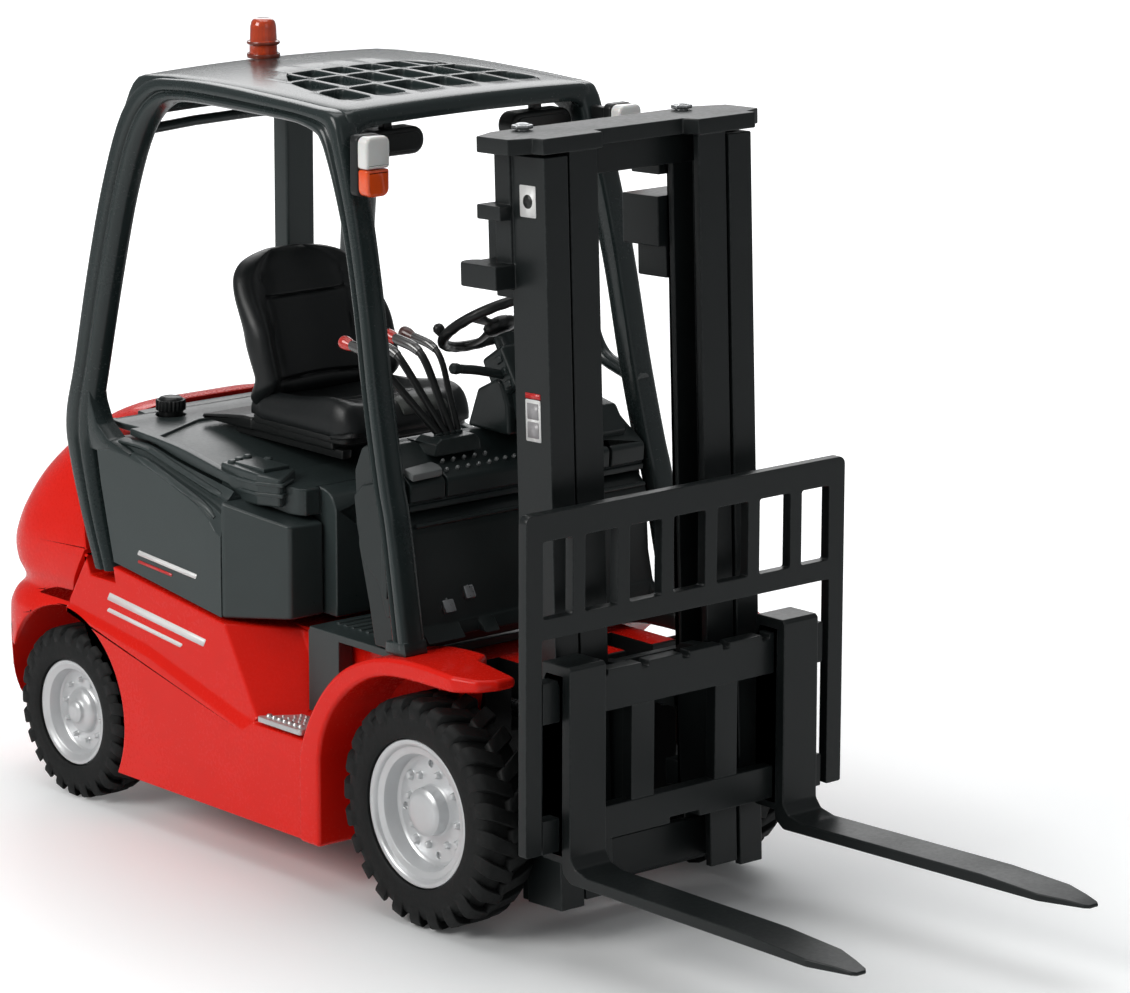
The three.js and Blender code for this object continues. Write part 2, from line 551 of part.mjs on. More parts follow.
// right side
function steeringKnuckle() {
  const y = WHEELBASE, z = REAR_Z;
  const fork = boxes([
    [-15.9, -12.4, y - 1.3, y + 1.3, z - 2.4, z - 1.5],             // lower jaw
    [-15.9, -12.4, y - 1.3, y + 1.3, z + 1.8, z + 2.7],             // upper jaw
    [-16.0, -15.3, y - 1.3, y + 1.3, z - 2.4, z + 2.7],             // outer wall
    [-14.0, -12.8, TIE_Y - 0.6, y - 1.0, z - 2.4, z - 1.6],         // arm to the tie rod
  ]);
  return join(fork,
    cylZ(-KINGPIN_X, y, KINGPIN_RADIUS, z - 2.0, z + 2.3, 24),
    cylZ(-KINGPIN_X, TIE_Y, 0.5, z - 2.0, z - 0.2, 12),
    cylX(y, z, SPINDLE_RADIUS, -20.2, -15.5, 24));
}

function tieRod() {
  const z0 = REAR_Z - 1.2, z1 = REAR_Z - 0.3;
  const rod = join(box(-12.4, 12.4, TIE_Y - 0.5, TIE_Y + 0.5, z0, z1),
    bothSides(cylZ(-KINGPIN_X, TIE_Y, EYE_RADIUS, z0, z1, 14)));
  return cut(rod, bothSides(cylZ(-KINGPIN_X, TIE_Y, 1.15, REAR_Z - 3, REAR_Z + 3, 12)));
}

// ---------------------------------------------------------------- mast, in its own frame
const liftCylinder = (radius, z0, z1, segments) =>
  cylZ(-LIFT_X, LIFT_Y, radius, z0, z1, segments);

// (x, y) right channel open towards the middle: web outside, two flanges
function channel(outerX, innerX, flange, y0, y1) {
  const webX = -outerX + 1.0;
  return [
    [-outerX, y0], [-innerX, y0], [-innerX, y0 + flange], [webX, y0 + flange],
    [webX, y1 - flange], [-innerX, y1 - flange], [-innerX, y1], [-outerX, y1],
  ];
}

// foot lug on the pivot pin, right side
function mastFoot() {
  const x0 = -9.6, x1 = -7.4, radius = 1.8, top = PIVOT_Z + radius;
  return join(
    box(x0, x1, MAST_REAR, PIVOT_Y, 6.0, top),
    box(x0, x1, MAST_REAR, MAST_REAR + 1.2, 3.8, top),
    cylX(PIVOT_Y, PIVOT_Z, radius, x0, x1, 14));
}

// pair of lugs with a pin for the right tilt rod
function tiltLugs() {
  const radius = 1.2, bottom = TILT_PIN_Z - radius;
  const lug = (x0, x1) => join(
    box(x0, x1, MAST_REAR, TILT_PIN_Y, bottom, TILT_PIN_Z + radius),
    box(x0, x1, MAST_REAR, MAST_REAR + 1.1, bottom, 26),
    cylX(TILT_PIN_Y, TILT_PIN_Z, radius, x0, x1, 10));
  const pin = cylX(TILT_PIN_Y, TILT_PIN_Z, 0.55, -9.6, -7.4, 10);
  return join(lug(-9.9, -9.2), lug(-7.8, -7.1), pin);
}

function outerMast() {
  const rear = MAST_REAR, top = OUTER_MAST_TOP;
  const rail = prismZ(channel(MAST_OUT, 11.7, 1.0, MAST_FRONT, rear), 3.6, top);
  const carried = boxes([                            // blocks behind the right channel
    [-15.4, -13.0, rear - 0.4, -7.9, 72.0, top],
    [-17.9, -13.2, rear - 0.6, -4.9, 72.2, 74.8],
    [-16.9, -13.4, rear - 0.4, -6.6, 79.6, 81.2],
    [-13.2, -6.3, rear + 0.15, -4.0, 74.2, 79.8],
    [-13.2, -7.4, rear + 0.15, -5.2, 70.6, 74.4],
    [-13.2, -6.5, rear + 0.15, -5.4, 82.2, top],
    [-13.4, -12.0, rear - 0.4, rear + 0.6, 72.2, top],
    [-13.4, -8.8, rear + 0.15, -6.6, 12, 15],
    [-13.4, -12.0, rear - 0.4, rear + 0.6, 12, 15],
  ]);
  const half = cut(join(rail, carried, cylZ(-16.4, -5.4, 1.5, 72.2, 74.8, 12)),
    liftCylinder(0.95, 70, 100, 12));
  const crossMembers = boxes([
    [-14.6, 14.6, rear - 0.2, rear + 1.4, 3.6, 6.6],
    [-14.6, 14.6, rear - 0.2, rear + 1.1, 24.8, 28.6],
  ]);
  return cut(
    join(bothSides(half), crossMembers, bothSides(mastFoot()), bothSides(tiltLugs())),
    cylX(PIVOT_Y, PIVOT_Z, 0.88, -12, 12, 18),
    bothSides(liftCylinder(1.62, 8, 70.3, 12)));
}

// (x, y) right half of the plate across the top of the inner mast
const MAST_HEAD = [
  [-15.0, -6.8], [-18.2, -8.4], [-18.2, -13.6], [-15.6, -14.6], [-15.4, -16.2],
  [-7.0, -16.2], [-6.4, -14.2],
];

function innerMast() {
  const rear = MAST_REAR, top = OUTER_MAST_TOP + 0.6;
  const outline = channel(11.35, 7.35, 0.95, MAST_FRONT + 0.15, rear - 0.3);
  const mast = join(
    bothSides(prismZ(outline, 4.2, top)),
    box(-11.2, 11.2, rear - 1.6, rear - 0.4, 4.4, 9.0),
    box(-11.2, 11.2, rear - 1.9, rear - 0.4, 83.6, top),
    prismZ(symmetric(MAST_HEAD), OUTER_MAST_TOP + 0.35, MAST_TOP));
  return cut(mast, bothSides(liftCylinder(0.75, 80, 100, 16)));
}

const liftBarrel = () => cut(liftCylinder(1.4, 8.6, 70.0, 16), liftCylinder(0.79, 10, 71, 14));

// rod with a hexagonal nut above the mast head
const liftRod = () => join(
  liftCylinder(0.7, 12, MAST_TOP + 0.3, 14),
  liftCylinder(1.2, MAST_TOP + 0.12, MAST_TOP + 0.8, 6));

// ---------------------------------------------------------------- mast pivot and tilt
const mastPivotPin = () => cylX(PIVOT_BODY_Y, PIVOT_BODY_Z, 0.8, -9.9, 9.9, 16);

// tilt cylinder under the floor, right side
const tiltBarrel = () => cut(
  cylY(-TILT_ROD_X, ROD_Z, 1.7, 5.2, 22, 16),
  cylY(-TILT_ROD_X, ROD_Z, 0.78, 4, 20, 16));

function tiltRod() {
  const rod = cylY(-TILT_ROD_X, ROD_Z, 0.7, ROD_Y + 1.3, 15.5, 16);
  const eye = cylX(ROD_Y, ROD_Z, EYE_RADIUS, -TILT_ROD_X - 0.4, -TILT_ROD_X + 0.4, 14);
  return cut(join(rod, eye), cylX(ROD_Y, ROD_Z, 1.05, -10, -7, 12));
}

// ---------------------------------------------------------------- carriage and forks
// (y, z) plate that carries the rollers
const ROLLER_PLATE = [
  [BAR_Y1 - 0.2, 13.2], [-12.9, 13.6], [-11.8, 30.6], [BAR_Y1 - 0.2, 31.2],
];

function carriage() {
  const bars = boxes([
    [-20.8, 20.8, BAR_Y0, BAR_Y1, 27.1, 31.8],
    [-20.8, 20.8, BAR_Y0, BAR_Y1, 12.6, 16.4],
  ]);
  const rightParts = join(
    box(-7.9, -4.5, BAR_Y0, BAR_Y1, 14, 30),
    prismX(ROLLER_PLATE, -6.9, -5.2),
    cylX(-12.55, 28.4, 1.25, -9.7, -6.5, 16),
    cylX(-13.05, 15.6, 1.25, -9.7, -6.5, 16));
  let frame = join(bars, bothSides(rightParts));
  for (let x = -18; x <= 18; x += 6) {               // notches in the upper bar
    frame = cut(frame, box(x - 0.5, x + 0.5, BAR_Y0 - 1, BAR_Y1 + 1, 31.2, 33));
  }
  return frame;
}

// grille of seven windows on two posts; the outermost windows are narrower
function loadBackrest() {
  const y0 = -19.8, y1 = -18.5, halfWindow = BACKREST_PITCH / 2 - 0.9, inset = 0.45;
  let grille = box(-BACKREST_X, BACKREST_X, y0, y1, 36.7, BACKREST_TOP);
  for (let i = -3; i <= 3; i++) {
    const x0 = i * BACKREST_PITCH - halfWindow + (i === -3 ? inset : 0);
    const x1 = i * BACKREST_PITCH + halfWindow - (i === 3 ? inset : 0);
    grille = cut(grille, box(x0, x1, -21, -17, 39.0, 47.5));
  }
  return join(grille, bothSides(box(-BACKREST_X, -21.2, y0, y1, 12.8, 37)));
}

// (y, z) fork: shank with hooks round the carriage bars, then the blade
const FORK_SIDE = [
  [-21.1, 33.4], [-16.4, 33.4], [-16.4, 30.8], [-17.3, 30.8], [-17.3, 32.1], [-19.7, 32.1],
  [-19.7, 12.3], [-17.3, 12.3], [-17.3, 14.0], [-16.5, 14.0], [-16.5, 11.3], [-19.7, 11.3],
  [-19.9, 10.2], [FORK_HEEL_Y, 9.3], [FORK_TIP_Y, 9.3], [FORK_TIP_Y, 9.7],
  [FORK_TIP_Y + 2.5, 10.0], [-50.0, 10.6], [-24.0, 10.6], [-22.0, 11.1], [FORK_HEEL_Y, 12.2],
];

function fork(side) {
  const half = FORK_WIDTH / 2;
  const plan = symmetric([
    [-half, -15], [-half, -58.5], [-half + 0.9, -62.4], [-half + 1.9, FORK_TIP_Y],
  ]);
  const straight = prismX(FORK_SIDE, -half, half).intersect(prismZ(plan, 0, 60));
  if (side === 'right') return straight.translate([-FORK_X, 0, 0]);
  const splayed = straight.warp((point) => {
    if (point[1] < FORK_HEEL_Y) point[0] += FORK_SPLAY * (FORK_HEEL_Y - point[1]);
  });
  return splayed.translate([FORK_X, 0, 0]);
}

// ---------------------------------------------------------------- assembly
const root = new THREE.Group();
const mastGroup = new THREE.Group();     // the pieces that lean with the mast
mastGroup.position.set(0, 0, TILT_REF_Z);
mastGroup.rotation.x = -MAST_TILT;
root.add(mastGroup);

function put(name, piece, look, parent = root) {
  const mesh = new THREE.Mesh(toGeometry(piece), new THREE.MeshStandardMaterial(look));
  mesh.name = name;
  if (parent === mastGroup) mesh.position.set(0, 0, -TILT_REF_Z);
  parent.add(mesh);
}

put('red_body', redBody(), RED);
put('counterweight', counterweight(), RED);
for (const side of SIDES) put(`step_plate_${side}`, fromRight(side, stepPlate()), SILVER);
put('base_plate', basePlate(), BLACK);
for (const side of SIDES) put(`side_cover_${side}`, fromRight(side, sideCover()), GREY);
put('hood', hood(), GREY);
put('fuel_cap', fuelCap(), BLACK);
put('air_intake', airIntake(), GREY);

put('floor_plate', floorPlate(), GREY);
put('front_cowl', frontCowl(), GREY);
put('dash_panel', dashPanel(), GREY);
put('steering_column', steeringColumn(), GREY);
put('steering_wheel', steeringWheel(), BLACK);
for (let i = 0; i < 4; i++) put(`lever_${i + 1}`, lever(i), BLACK);
put('seat_base', seatBase(), BLACK);
put('seat_cushion', seatCushion(), BLACK);
put('seat_backrest', seatBackrest(), BLACK);

put('overhead_guard', overheadGuard(), GREY);
put('beacon_lens', beacon(), BEACON_ORANGE);
for (const side of SIDES) {
  put(`lamp_housing_${side}`, fromRight(side, lampHousing()), BLACK);
  put(`marker_lens_${side}`, fromRight(side, markerLens()), MARKER_WHITE);
  put(`indicator_lens_${side}`, fromRight(side, indicatorLens()), INDICATOR_ORANGE);
  put(`work_lamp_${side}`, fromRight(side, workLamp()), BLACK);
}

put('front_axle', frontAxle(), STEEL);
for (const side of SIDES) {
  put(`front_tyre_${side}`, fromLeft(side, tyre(FRONT_WHEEL)), RUBBER);
  put(`front_rim_${side}`, fromLeft(side, rim(FRONT_WHEEL)), SILVER);
}
put('rear_axle_beam', rearAxleBeam(), BLACK);
for (const side of SIDES) {
  put(`steering_knuckle_${side}`, fromRight(side, steeringKnuckle()), STEEL);
  put(`rear_tyre_${side}`, fromLeft(side, tyre(REAR_WHEEL)), RUBBER);
  put(`rear_rim_${side}`, fromLeft(side, rim(REAR_WHEEL)), SILVER);
}
put('tie_rod', tieRod(), STEEL);

put('outer_mast', outerMast(), BLACK, mastGroup);
put('inner_mast', innerMast(), BLACK, mastGroup);
for (const side of SIDES) {
  put(`lift_barrel_${side}`, fromRight(side, liftBarrel()), BLACK, mastGroup);
  put(`lift_rod_${side}`, fromRight(side, liftRod()), STEEL, mastGroup);
}
put('mast_pivot_pin', mastPivotPin(), STEEL);
for (const side of SIDES) {
  put(`tilt_barrel_${side}`, fromRight(side, tiltBarrel()), BLACK);
  put(`tilt_rod_${side}`, fromRight(side, tiltRod()), STEEL);
}
put('carriage', carriage(), BLACK);
put('load_backrest', loadBackrest(), BLACK);
for (const side of SIDES) put(`fork_${side}`, fork(side), BLACK);

const object = new THREE.Group();
root.position.set(0, -ORIGIN_Y, 0);
object.add(root);
export default object;
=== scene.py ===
"""Looks of a small forklift truck: painted body, mast, forks, seat, wheels, lamps and a stage.
"""
import bpy
import bmesh
from contextlib import contextmanager
from math import acos, atan2, copysign, cos, exp, pi, radians, sin, sqrt, tan
import numpy as np
from mathutils import Matrix, Vector
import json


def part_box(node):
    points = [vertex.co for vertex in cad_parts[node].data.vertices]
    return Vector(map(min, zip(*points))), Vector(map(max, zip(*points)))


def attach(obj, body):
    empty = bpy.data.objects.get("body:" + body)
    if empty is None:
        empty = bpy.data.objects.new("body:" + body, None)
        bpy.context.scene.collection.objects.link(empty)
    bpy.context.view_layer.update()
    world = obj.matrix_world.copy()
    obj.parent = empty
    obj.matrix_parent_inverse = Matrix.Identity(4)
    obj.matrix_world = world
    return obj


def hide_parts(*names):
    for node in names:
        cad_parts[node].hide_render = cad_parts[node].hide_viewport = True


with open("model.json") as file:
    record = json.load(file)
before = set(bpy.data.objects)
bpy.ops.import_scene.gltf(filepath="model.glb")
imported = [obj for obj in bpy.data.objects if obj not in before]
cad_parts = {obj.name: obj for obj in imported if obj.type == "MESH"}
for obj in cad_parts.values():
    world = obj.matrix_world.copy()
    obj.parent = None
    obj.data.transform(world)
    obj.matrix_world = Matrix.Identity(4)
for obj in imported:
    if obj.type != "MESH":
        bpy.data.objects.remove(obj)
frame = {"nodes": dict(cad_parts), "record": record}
BODY = {node: body for body, nodes in frame["record"]["behaviour"]["bodies"].items()
        for node in nodes}

axle_low, axle_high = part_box("front_axle")
AXLE_Y = (axle_low.y + axle_high.y) / 2     # front axle centre in the loaded frame, metres
TO_ROW = Matrix.Translation((0, AXLE_Y, 0)) @ Matrix.Scale(0.001, 4)
FROM_ROW = TO_ROW.inverted()
LEAN_PIVOT_Z = 8                            # the mast parts lean about this height
LEAN = (Matrix.Translation((0, 0, LEAN_PIVOT_Z)) @ Matrix.Rotation(radians(-2.24), 4, "X")
        @ Matrix.Translation((0, 0, -LEAN_PIVOT_Z)))
MIRROR = Matrix.Scale(-1, 4, (1, 0, 0))
SIDES = ((-1, "right"), (1, "left"))


# ============================================================ numbers
def node_box(node):
    """Low and high corner of a CAD node in the working frame, mm."""
    low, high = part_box(node)
    return [(p.x * 1000, p.y * 1000 - AXLE_Y * 1000, p.z * 1000) for p in (low, high)]


def centre(node):
    return [(low + high) / 2 for low, high in zip(*node_box(node))]


def clamp(value):
    return max(0, min(1, value))


def ease(start, end, value):
    """Smooth step from 0 at start to 1 at end."""
    t = max(0.0, min(1.0, (value - start) / (end - start)))
    return t * t * (3 - 2 * t)


def bump(value, middle, width):
    return exp(-((value - middle) / width) ** 2)


def at(table, x):
    """Second column of a table, interpolated at x in the first."""
    return float(np.interp(x, [row[0] for row in table], [row[1] for row in table]))


def rounded(points, steps=5):
    """Polygon whose corners may carry a radius as a third value."""
    out = []
    for i, point in enumerate(points):
        radius = point[2] if len(point) > 2 else 0
        corner = Vector(point[:2])
        if radius <= 0:
            out.append(tuple(corner))
            continue
        before = Vector(points[i - 1][:2]) - corner
        after = Vector(points[(i + 1) % len(points)][:2]) - corner
        len_before, len_after = before.length, after.length
        before.normalize()
        after.normalize()
        angle = acos(max(-1, min(1, before.dot(after))))
        if angle > pi - 0.02:
            out.append(tuple(corner))
            continue
        reach = min(radius / tan(angle / 2), len_before * 0.48, len_after * 0.48)
        radius = reach * tan(angle / 2)
        hub = corner + (before + after).normalized() * (radius / sin(angle / 2))
        first, last = corner + before * reach - hub, corner + after * reach - hub
        sweep = first.angle_signed(last) if first.length > 0 else 0
        for k in range(steps + 1):
            spoke = first.copy()
            spoke.rotate(Matrix.Rotation(-sweep * k / steps, 2))
            out.append(tuple(hub + spoke))
    return out


def curve(points, steps=5):
    """Open Catmull-Rom curve through the points."""
    pts = [Vector(p) for p in points]
    out = []
    for i in range(len(pts) - 1):
        p1, p2 = pts[i], pts[i + 1]
        p0 = pts[i - 1] if i > 0 else pts[0] * 2 - pts[1]
        p3 = pts[i + 2] if i + 2 < len(pts) else pts[-1] * 2 - pts[-2]
        for k in range(steps):
            t = k / steps
            out.append(0.5 * ((2 * p1) + (p2 - p0) * t + (2 * p0 - 5 * p1 + 4 * p2 - p3) * t * t
                              + (3 * p1 - p0 - 3 * p2 + p3) * t ** 3))
    out.append(pts[-1])
    return [tuple(p) for p in out]


# ============================================================ mesh helpers
def link(mesh):
    obj = bpy.data.objects.new("tmp", mesh)
    bpy.context.scene.collection.objects.link(obj)
    return obj


@contextmanager
def editing(obj):
    bm = bmesh.new()
    bm.from_mesh(obj.data)
    yield bm
    bm.to_mesh(obj.data)
    bm.free()


def solid(verts, faces):
    mesh = bpy.data.meshes.new("tmp")
    mesh.from_pydata([tuple(v) for v in verts], [], faces)
    obj = link(mesh)
    with editing(obj) as bm:
        bmesh.ops.remove_doubles(bm, verts=bm.verts, dist=1e-5)
        bmesh.ops.recalc_face_normals(bm, faces=bm.faces)
    return obj


def bridge(first, second):
    """Solid between two outlines with the same number of points."""
    n = len(first)
    faces = [tuple(range(n)), tuple(range(2 * n - 1, n - 1, -1))]
    faces += [(i, (i + 1) % n, n + (i + 1) % n, n + i) for i in range(n)]
    return solid(first + second, faces)


def prism(outline, axis, start, end):
    """Outline in the other two coordinates, in x, y, z order, pulled along an axis."""
    place = {"x": lambda p, t: (t, p[0], p[1]), "y": lambda p, t: (p[0], t, p[1]),
             "z": lambda p, t: (p[0], p[1], t)}[axis]
    return bridge([place(p, start) for p in outline], [place(p, end) for p in outline])


def box(x0, x1, y0, y1, z0, z1):
    return prism([(x0, y0), (x1, y0), (x1, y1), (x0, y1)], "z", z0, z1)


def cylinder(axis, c1, c2, radius, start, end, steps=48):
    turns = [2 * pi * i / steps for i in range(steps)]
    return prism([(c1 + radius * cos(a), c2 + radius * sin(a)) for a in turns], axis, start, end)


def lathe(profile, axis="x", c1=0, c2=0, steps=72, closed=False):
    """Turn (radius, along) points; the profile ends on the axis or closes on itself."""
    verts, faces, loops = [], [], []
    for radius, along in profile:
        if radius < 1e-6:
            loops.append([len(verts)])
            verts.append((0, 0, along))
        else:
            loops.append(list(range(len(verts), len(verts) + steps)))
            verts += [(radius * cos(2 * pi * k / steps), radius * sin(2 * pi * k / steps), along)
                      for k in range(steps)]
    for near, far in list(zip(loops, loops[1:])) + ([(loops[-1], loops[0])] if closed else []):
        for k in range(steps):
            face = [near[k % len(near)], near[(k + 1) % len(near)],
                    far[(k + 1) % len(far)], far[k % len(far)]]
            face = list(dict.fromkeys(face))
            if len(face) > 2:
                faces.append(tuple(face))
    place = {"x": lambda p: (p[2], c1 + p[0], c2 + p[1]), "y": lambda p: (c1 + p[0], p[2], c2 + p[1]),
             "z": lambda p: (c1 + p[0], c2 + p[1], p[2])}[axis]
    return solid([place(p) for p in verts], faces)


def skin(loops):
    """Capped skin over closed loops of equal length."""
    n = len(loops[0])
    verts = [p for loop in loops for p in loop]
    faces = []
    for i in range(len(loops) - 1):
        for k in range(n):
            a, b = i * n + k, i * n + (k + 1) % n
            faces.append((a, b, b + n, a + n))
    faces += [tuple(range(n)), tuple(range(len(verts) - 1, len(verts) - n - 1, -1))]
    return solid(verts, faces)


def tube(path, radius, steps=12):
    """Round bar along a path; radius may be a list, one per point."""
    pts = [Vector(p) for p in path]
    loops, up = [], None
    for i, p in enumerate(pts):
        ahead = (pts[min(i + 1, len(pts) - 1)] - pts[max(i - 1, 0)]).normalized()
        if up is None:
            up = ahead.orthogonal().normalized()
        up = (up - ahead * up.dot(ahead)).normalized()
        side = ahead.cross(up)
        r = radius[i] if isinstance(radius, (list, tuple)) else radius
        turns = [2 * pi * k / steps for k in range(steps)]
        loops.append([tuple(p + up * (r * cos(a)) + side * (r * sin(a))) for a in turns])
    return skin(loops)


def combine(target, tools, operation):
    """Boolean each tool into the target and delete it."""
    for tool in tools:
        # MANIFOLD fails, or leaves the target as it was, on open or touching shells; EXACT follows.
        for solver in ("MANIFOLD", "EXACT"):
            old = target.data
            modifier = target.modifiers.new("b", "BOOLEAN")
            modifier.operation = operation
            modifier.object = tool
            modifier.solver = solver
            graph = bpy.context.evaluated_depsgraph_get()
            mesh = bpy.data.meshes.new_from_object(
                target.evaluated_get(graph), preserve_all_data_layers=False, depsgraph=graph)
            target.modifiers.clear()
            unchanged = (len(mesh.polygons) == len(old.polygons)
                         and len(mesh.vertices) == len(old.vertices))
            failed = solver == "MANIFOLD" and operation != "INTERSECT" and unchanged
            if len(mesh.polygons) > 0 and not failed:
                target.data = mesh
                bpy.data.meshes.remove(old)
                break
            bpy.data.meshes.remove(mesh)
        bpy.data.objects.remove(tool)
    return target


def cut(target, *tools):
    return combine(target, tools, "DIFFERENCE")


def join(target, *tools):
    return combine(target, tools, "UNION")


def intersect(target, *tools):
    return combine(target, tools, "INTERSECT")


def merge(*objects):
    """Several closed shells in one mesh, without a boolean."""
    bm = bmesh.new()
    for obj in objects:
        bm.from_mesh(obj.data)
    mesh = bpy.data.meshes.new("tmp")
    bm.to_mesh(mesh)
    bm.free()
    for obj in objects:
        bpy.data.objects.remove(obj)
    return link(mesh)


def mirrored(obj):
    mesh = obj.data.copy()
    twin = link(mesh)
    mesh.transform(MIRROR)
    mesh.flip_normals()
    return twin


def pair(obj):
    return merge(obj, mirrored(obj))


def on_side(obj, side):
    """A piece made for the right, moved to the given side."""
    if side < 0:
        return obj
    twin = mirrored(obj)
    bpy.data.objects.remove(obj)
    return twin


def placed(obj, matrix):
    obj.data.transform(matrix)
    return obj


def toward(direction):
    """Rotation that turns +Z to the direction."""
    return Vector((0, 0, 1)).rotation_difference(Vector(direction)).to_matrix().to_4x4()


def bevel(obj, width, angle=32, segments=2, clean=0.8):
    """Bevel edges sharper than angle; clean is the flat-face dissolve limit, both in degrees."""
    with editing(obj) as bm:
        bmesh.ops.remove_doubles(bm, verts=bm.verts, dist=0.006)
        if clean:
            bmesh.ops.dissolve_limit(bm, angle_limit=radians(clean), verts=bm.verts, edges=bm.edges)
        bmesh.ops.dissolve_degenerate(bm, dist=0.01, edges=bm.edges)
        edges = [e for e in bm.edges
                 if len(e.link_faces) == 2 and e.calc_face_angle(0) > radians(angle)]
        if edges:
            bmesh.ops.bevel(bm, geom=edges, offset=width, offset_type="OFFSET", segments=segments,
                            profile=0.5, affect="EDGES", clamp_overlap=False, loop_slide=True)
    return obj


def soft_box(x0, x1, y0, y1, z0, z1, width, segments=2):
    return bevel(box(x0, x1, y0, y1, z0, z1), width, 30, segments)


def soft_prism(outline, axis, start, end, width, segments=2, steps=3):
    return bevel(prism(rounded(outline, steps), axis, start, end), width, 30, segments)


def finish(name, obj, material, node=None, body="chassis", lean=False, smooth=38,
           weighted=True):
    """Name, place, shade and register a piece; smooth is the sharp-edge angle, 0 for none."""
    mesh = obj.data
    mesh.transform(TO_ROW @ LEAN if lean else TO_ROW)
    obj.name = name
    mesh.name = name
    mesh.polygons.foreach_set("use_smooth", [True] * len(mesh.polygons))
    if smooth:
        mesh.set_sharp_from_angle(angle=radians(smooth))
    if weighted:
        modifier = obj.modifiers.new("wn", "WEIGHTED_NORMAL")
        modifier.keep_sharp = True
        modifier.weight = 60
    mesh.materials.clear()
    mesh.materials.append(material)
    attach(obj, body)
    if node:
        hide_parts(node)
    return obj


def refined(node, material, width, angle=35, name=None):
    """The CAD piece itself with bevelled edges."""
    mesh = frame["nodes"][node].data.copy()
    mesh.transform(FROM_ROW)
    obj = link(mesh)
    with editing(obj) as bm:
        bmesh.ops.remove_doubles(bm, verts=bm.verts, dist=0.004)
        bmesh.ops.recalc_face_normals(bm, faces=bm.faces)
    bevel(obj, width, angle)
    finish(name or node + "_skin", obj, material, node, body=BODY[node])


# ============================================================ materials
def set_ramp(node, first, last, *between):
    """Set (position, colour) stops of a colour ramp."""
    elements = node.color_ramp.elements
    for element, (position, color) in zip(elements, (first, last)):
        element.position = position
        element.color = (*color, 1)
    for position, color in between:
        elements.new(position).color = (*color, 1)


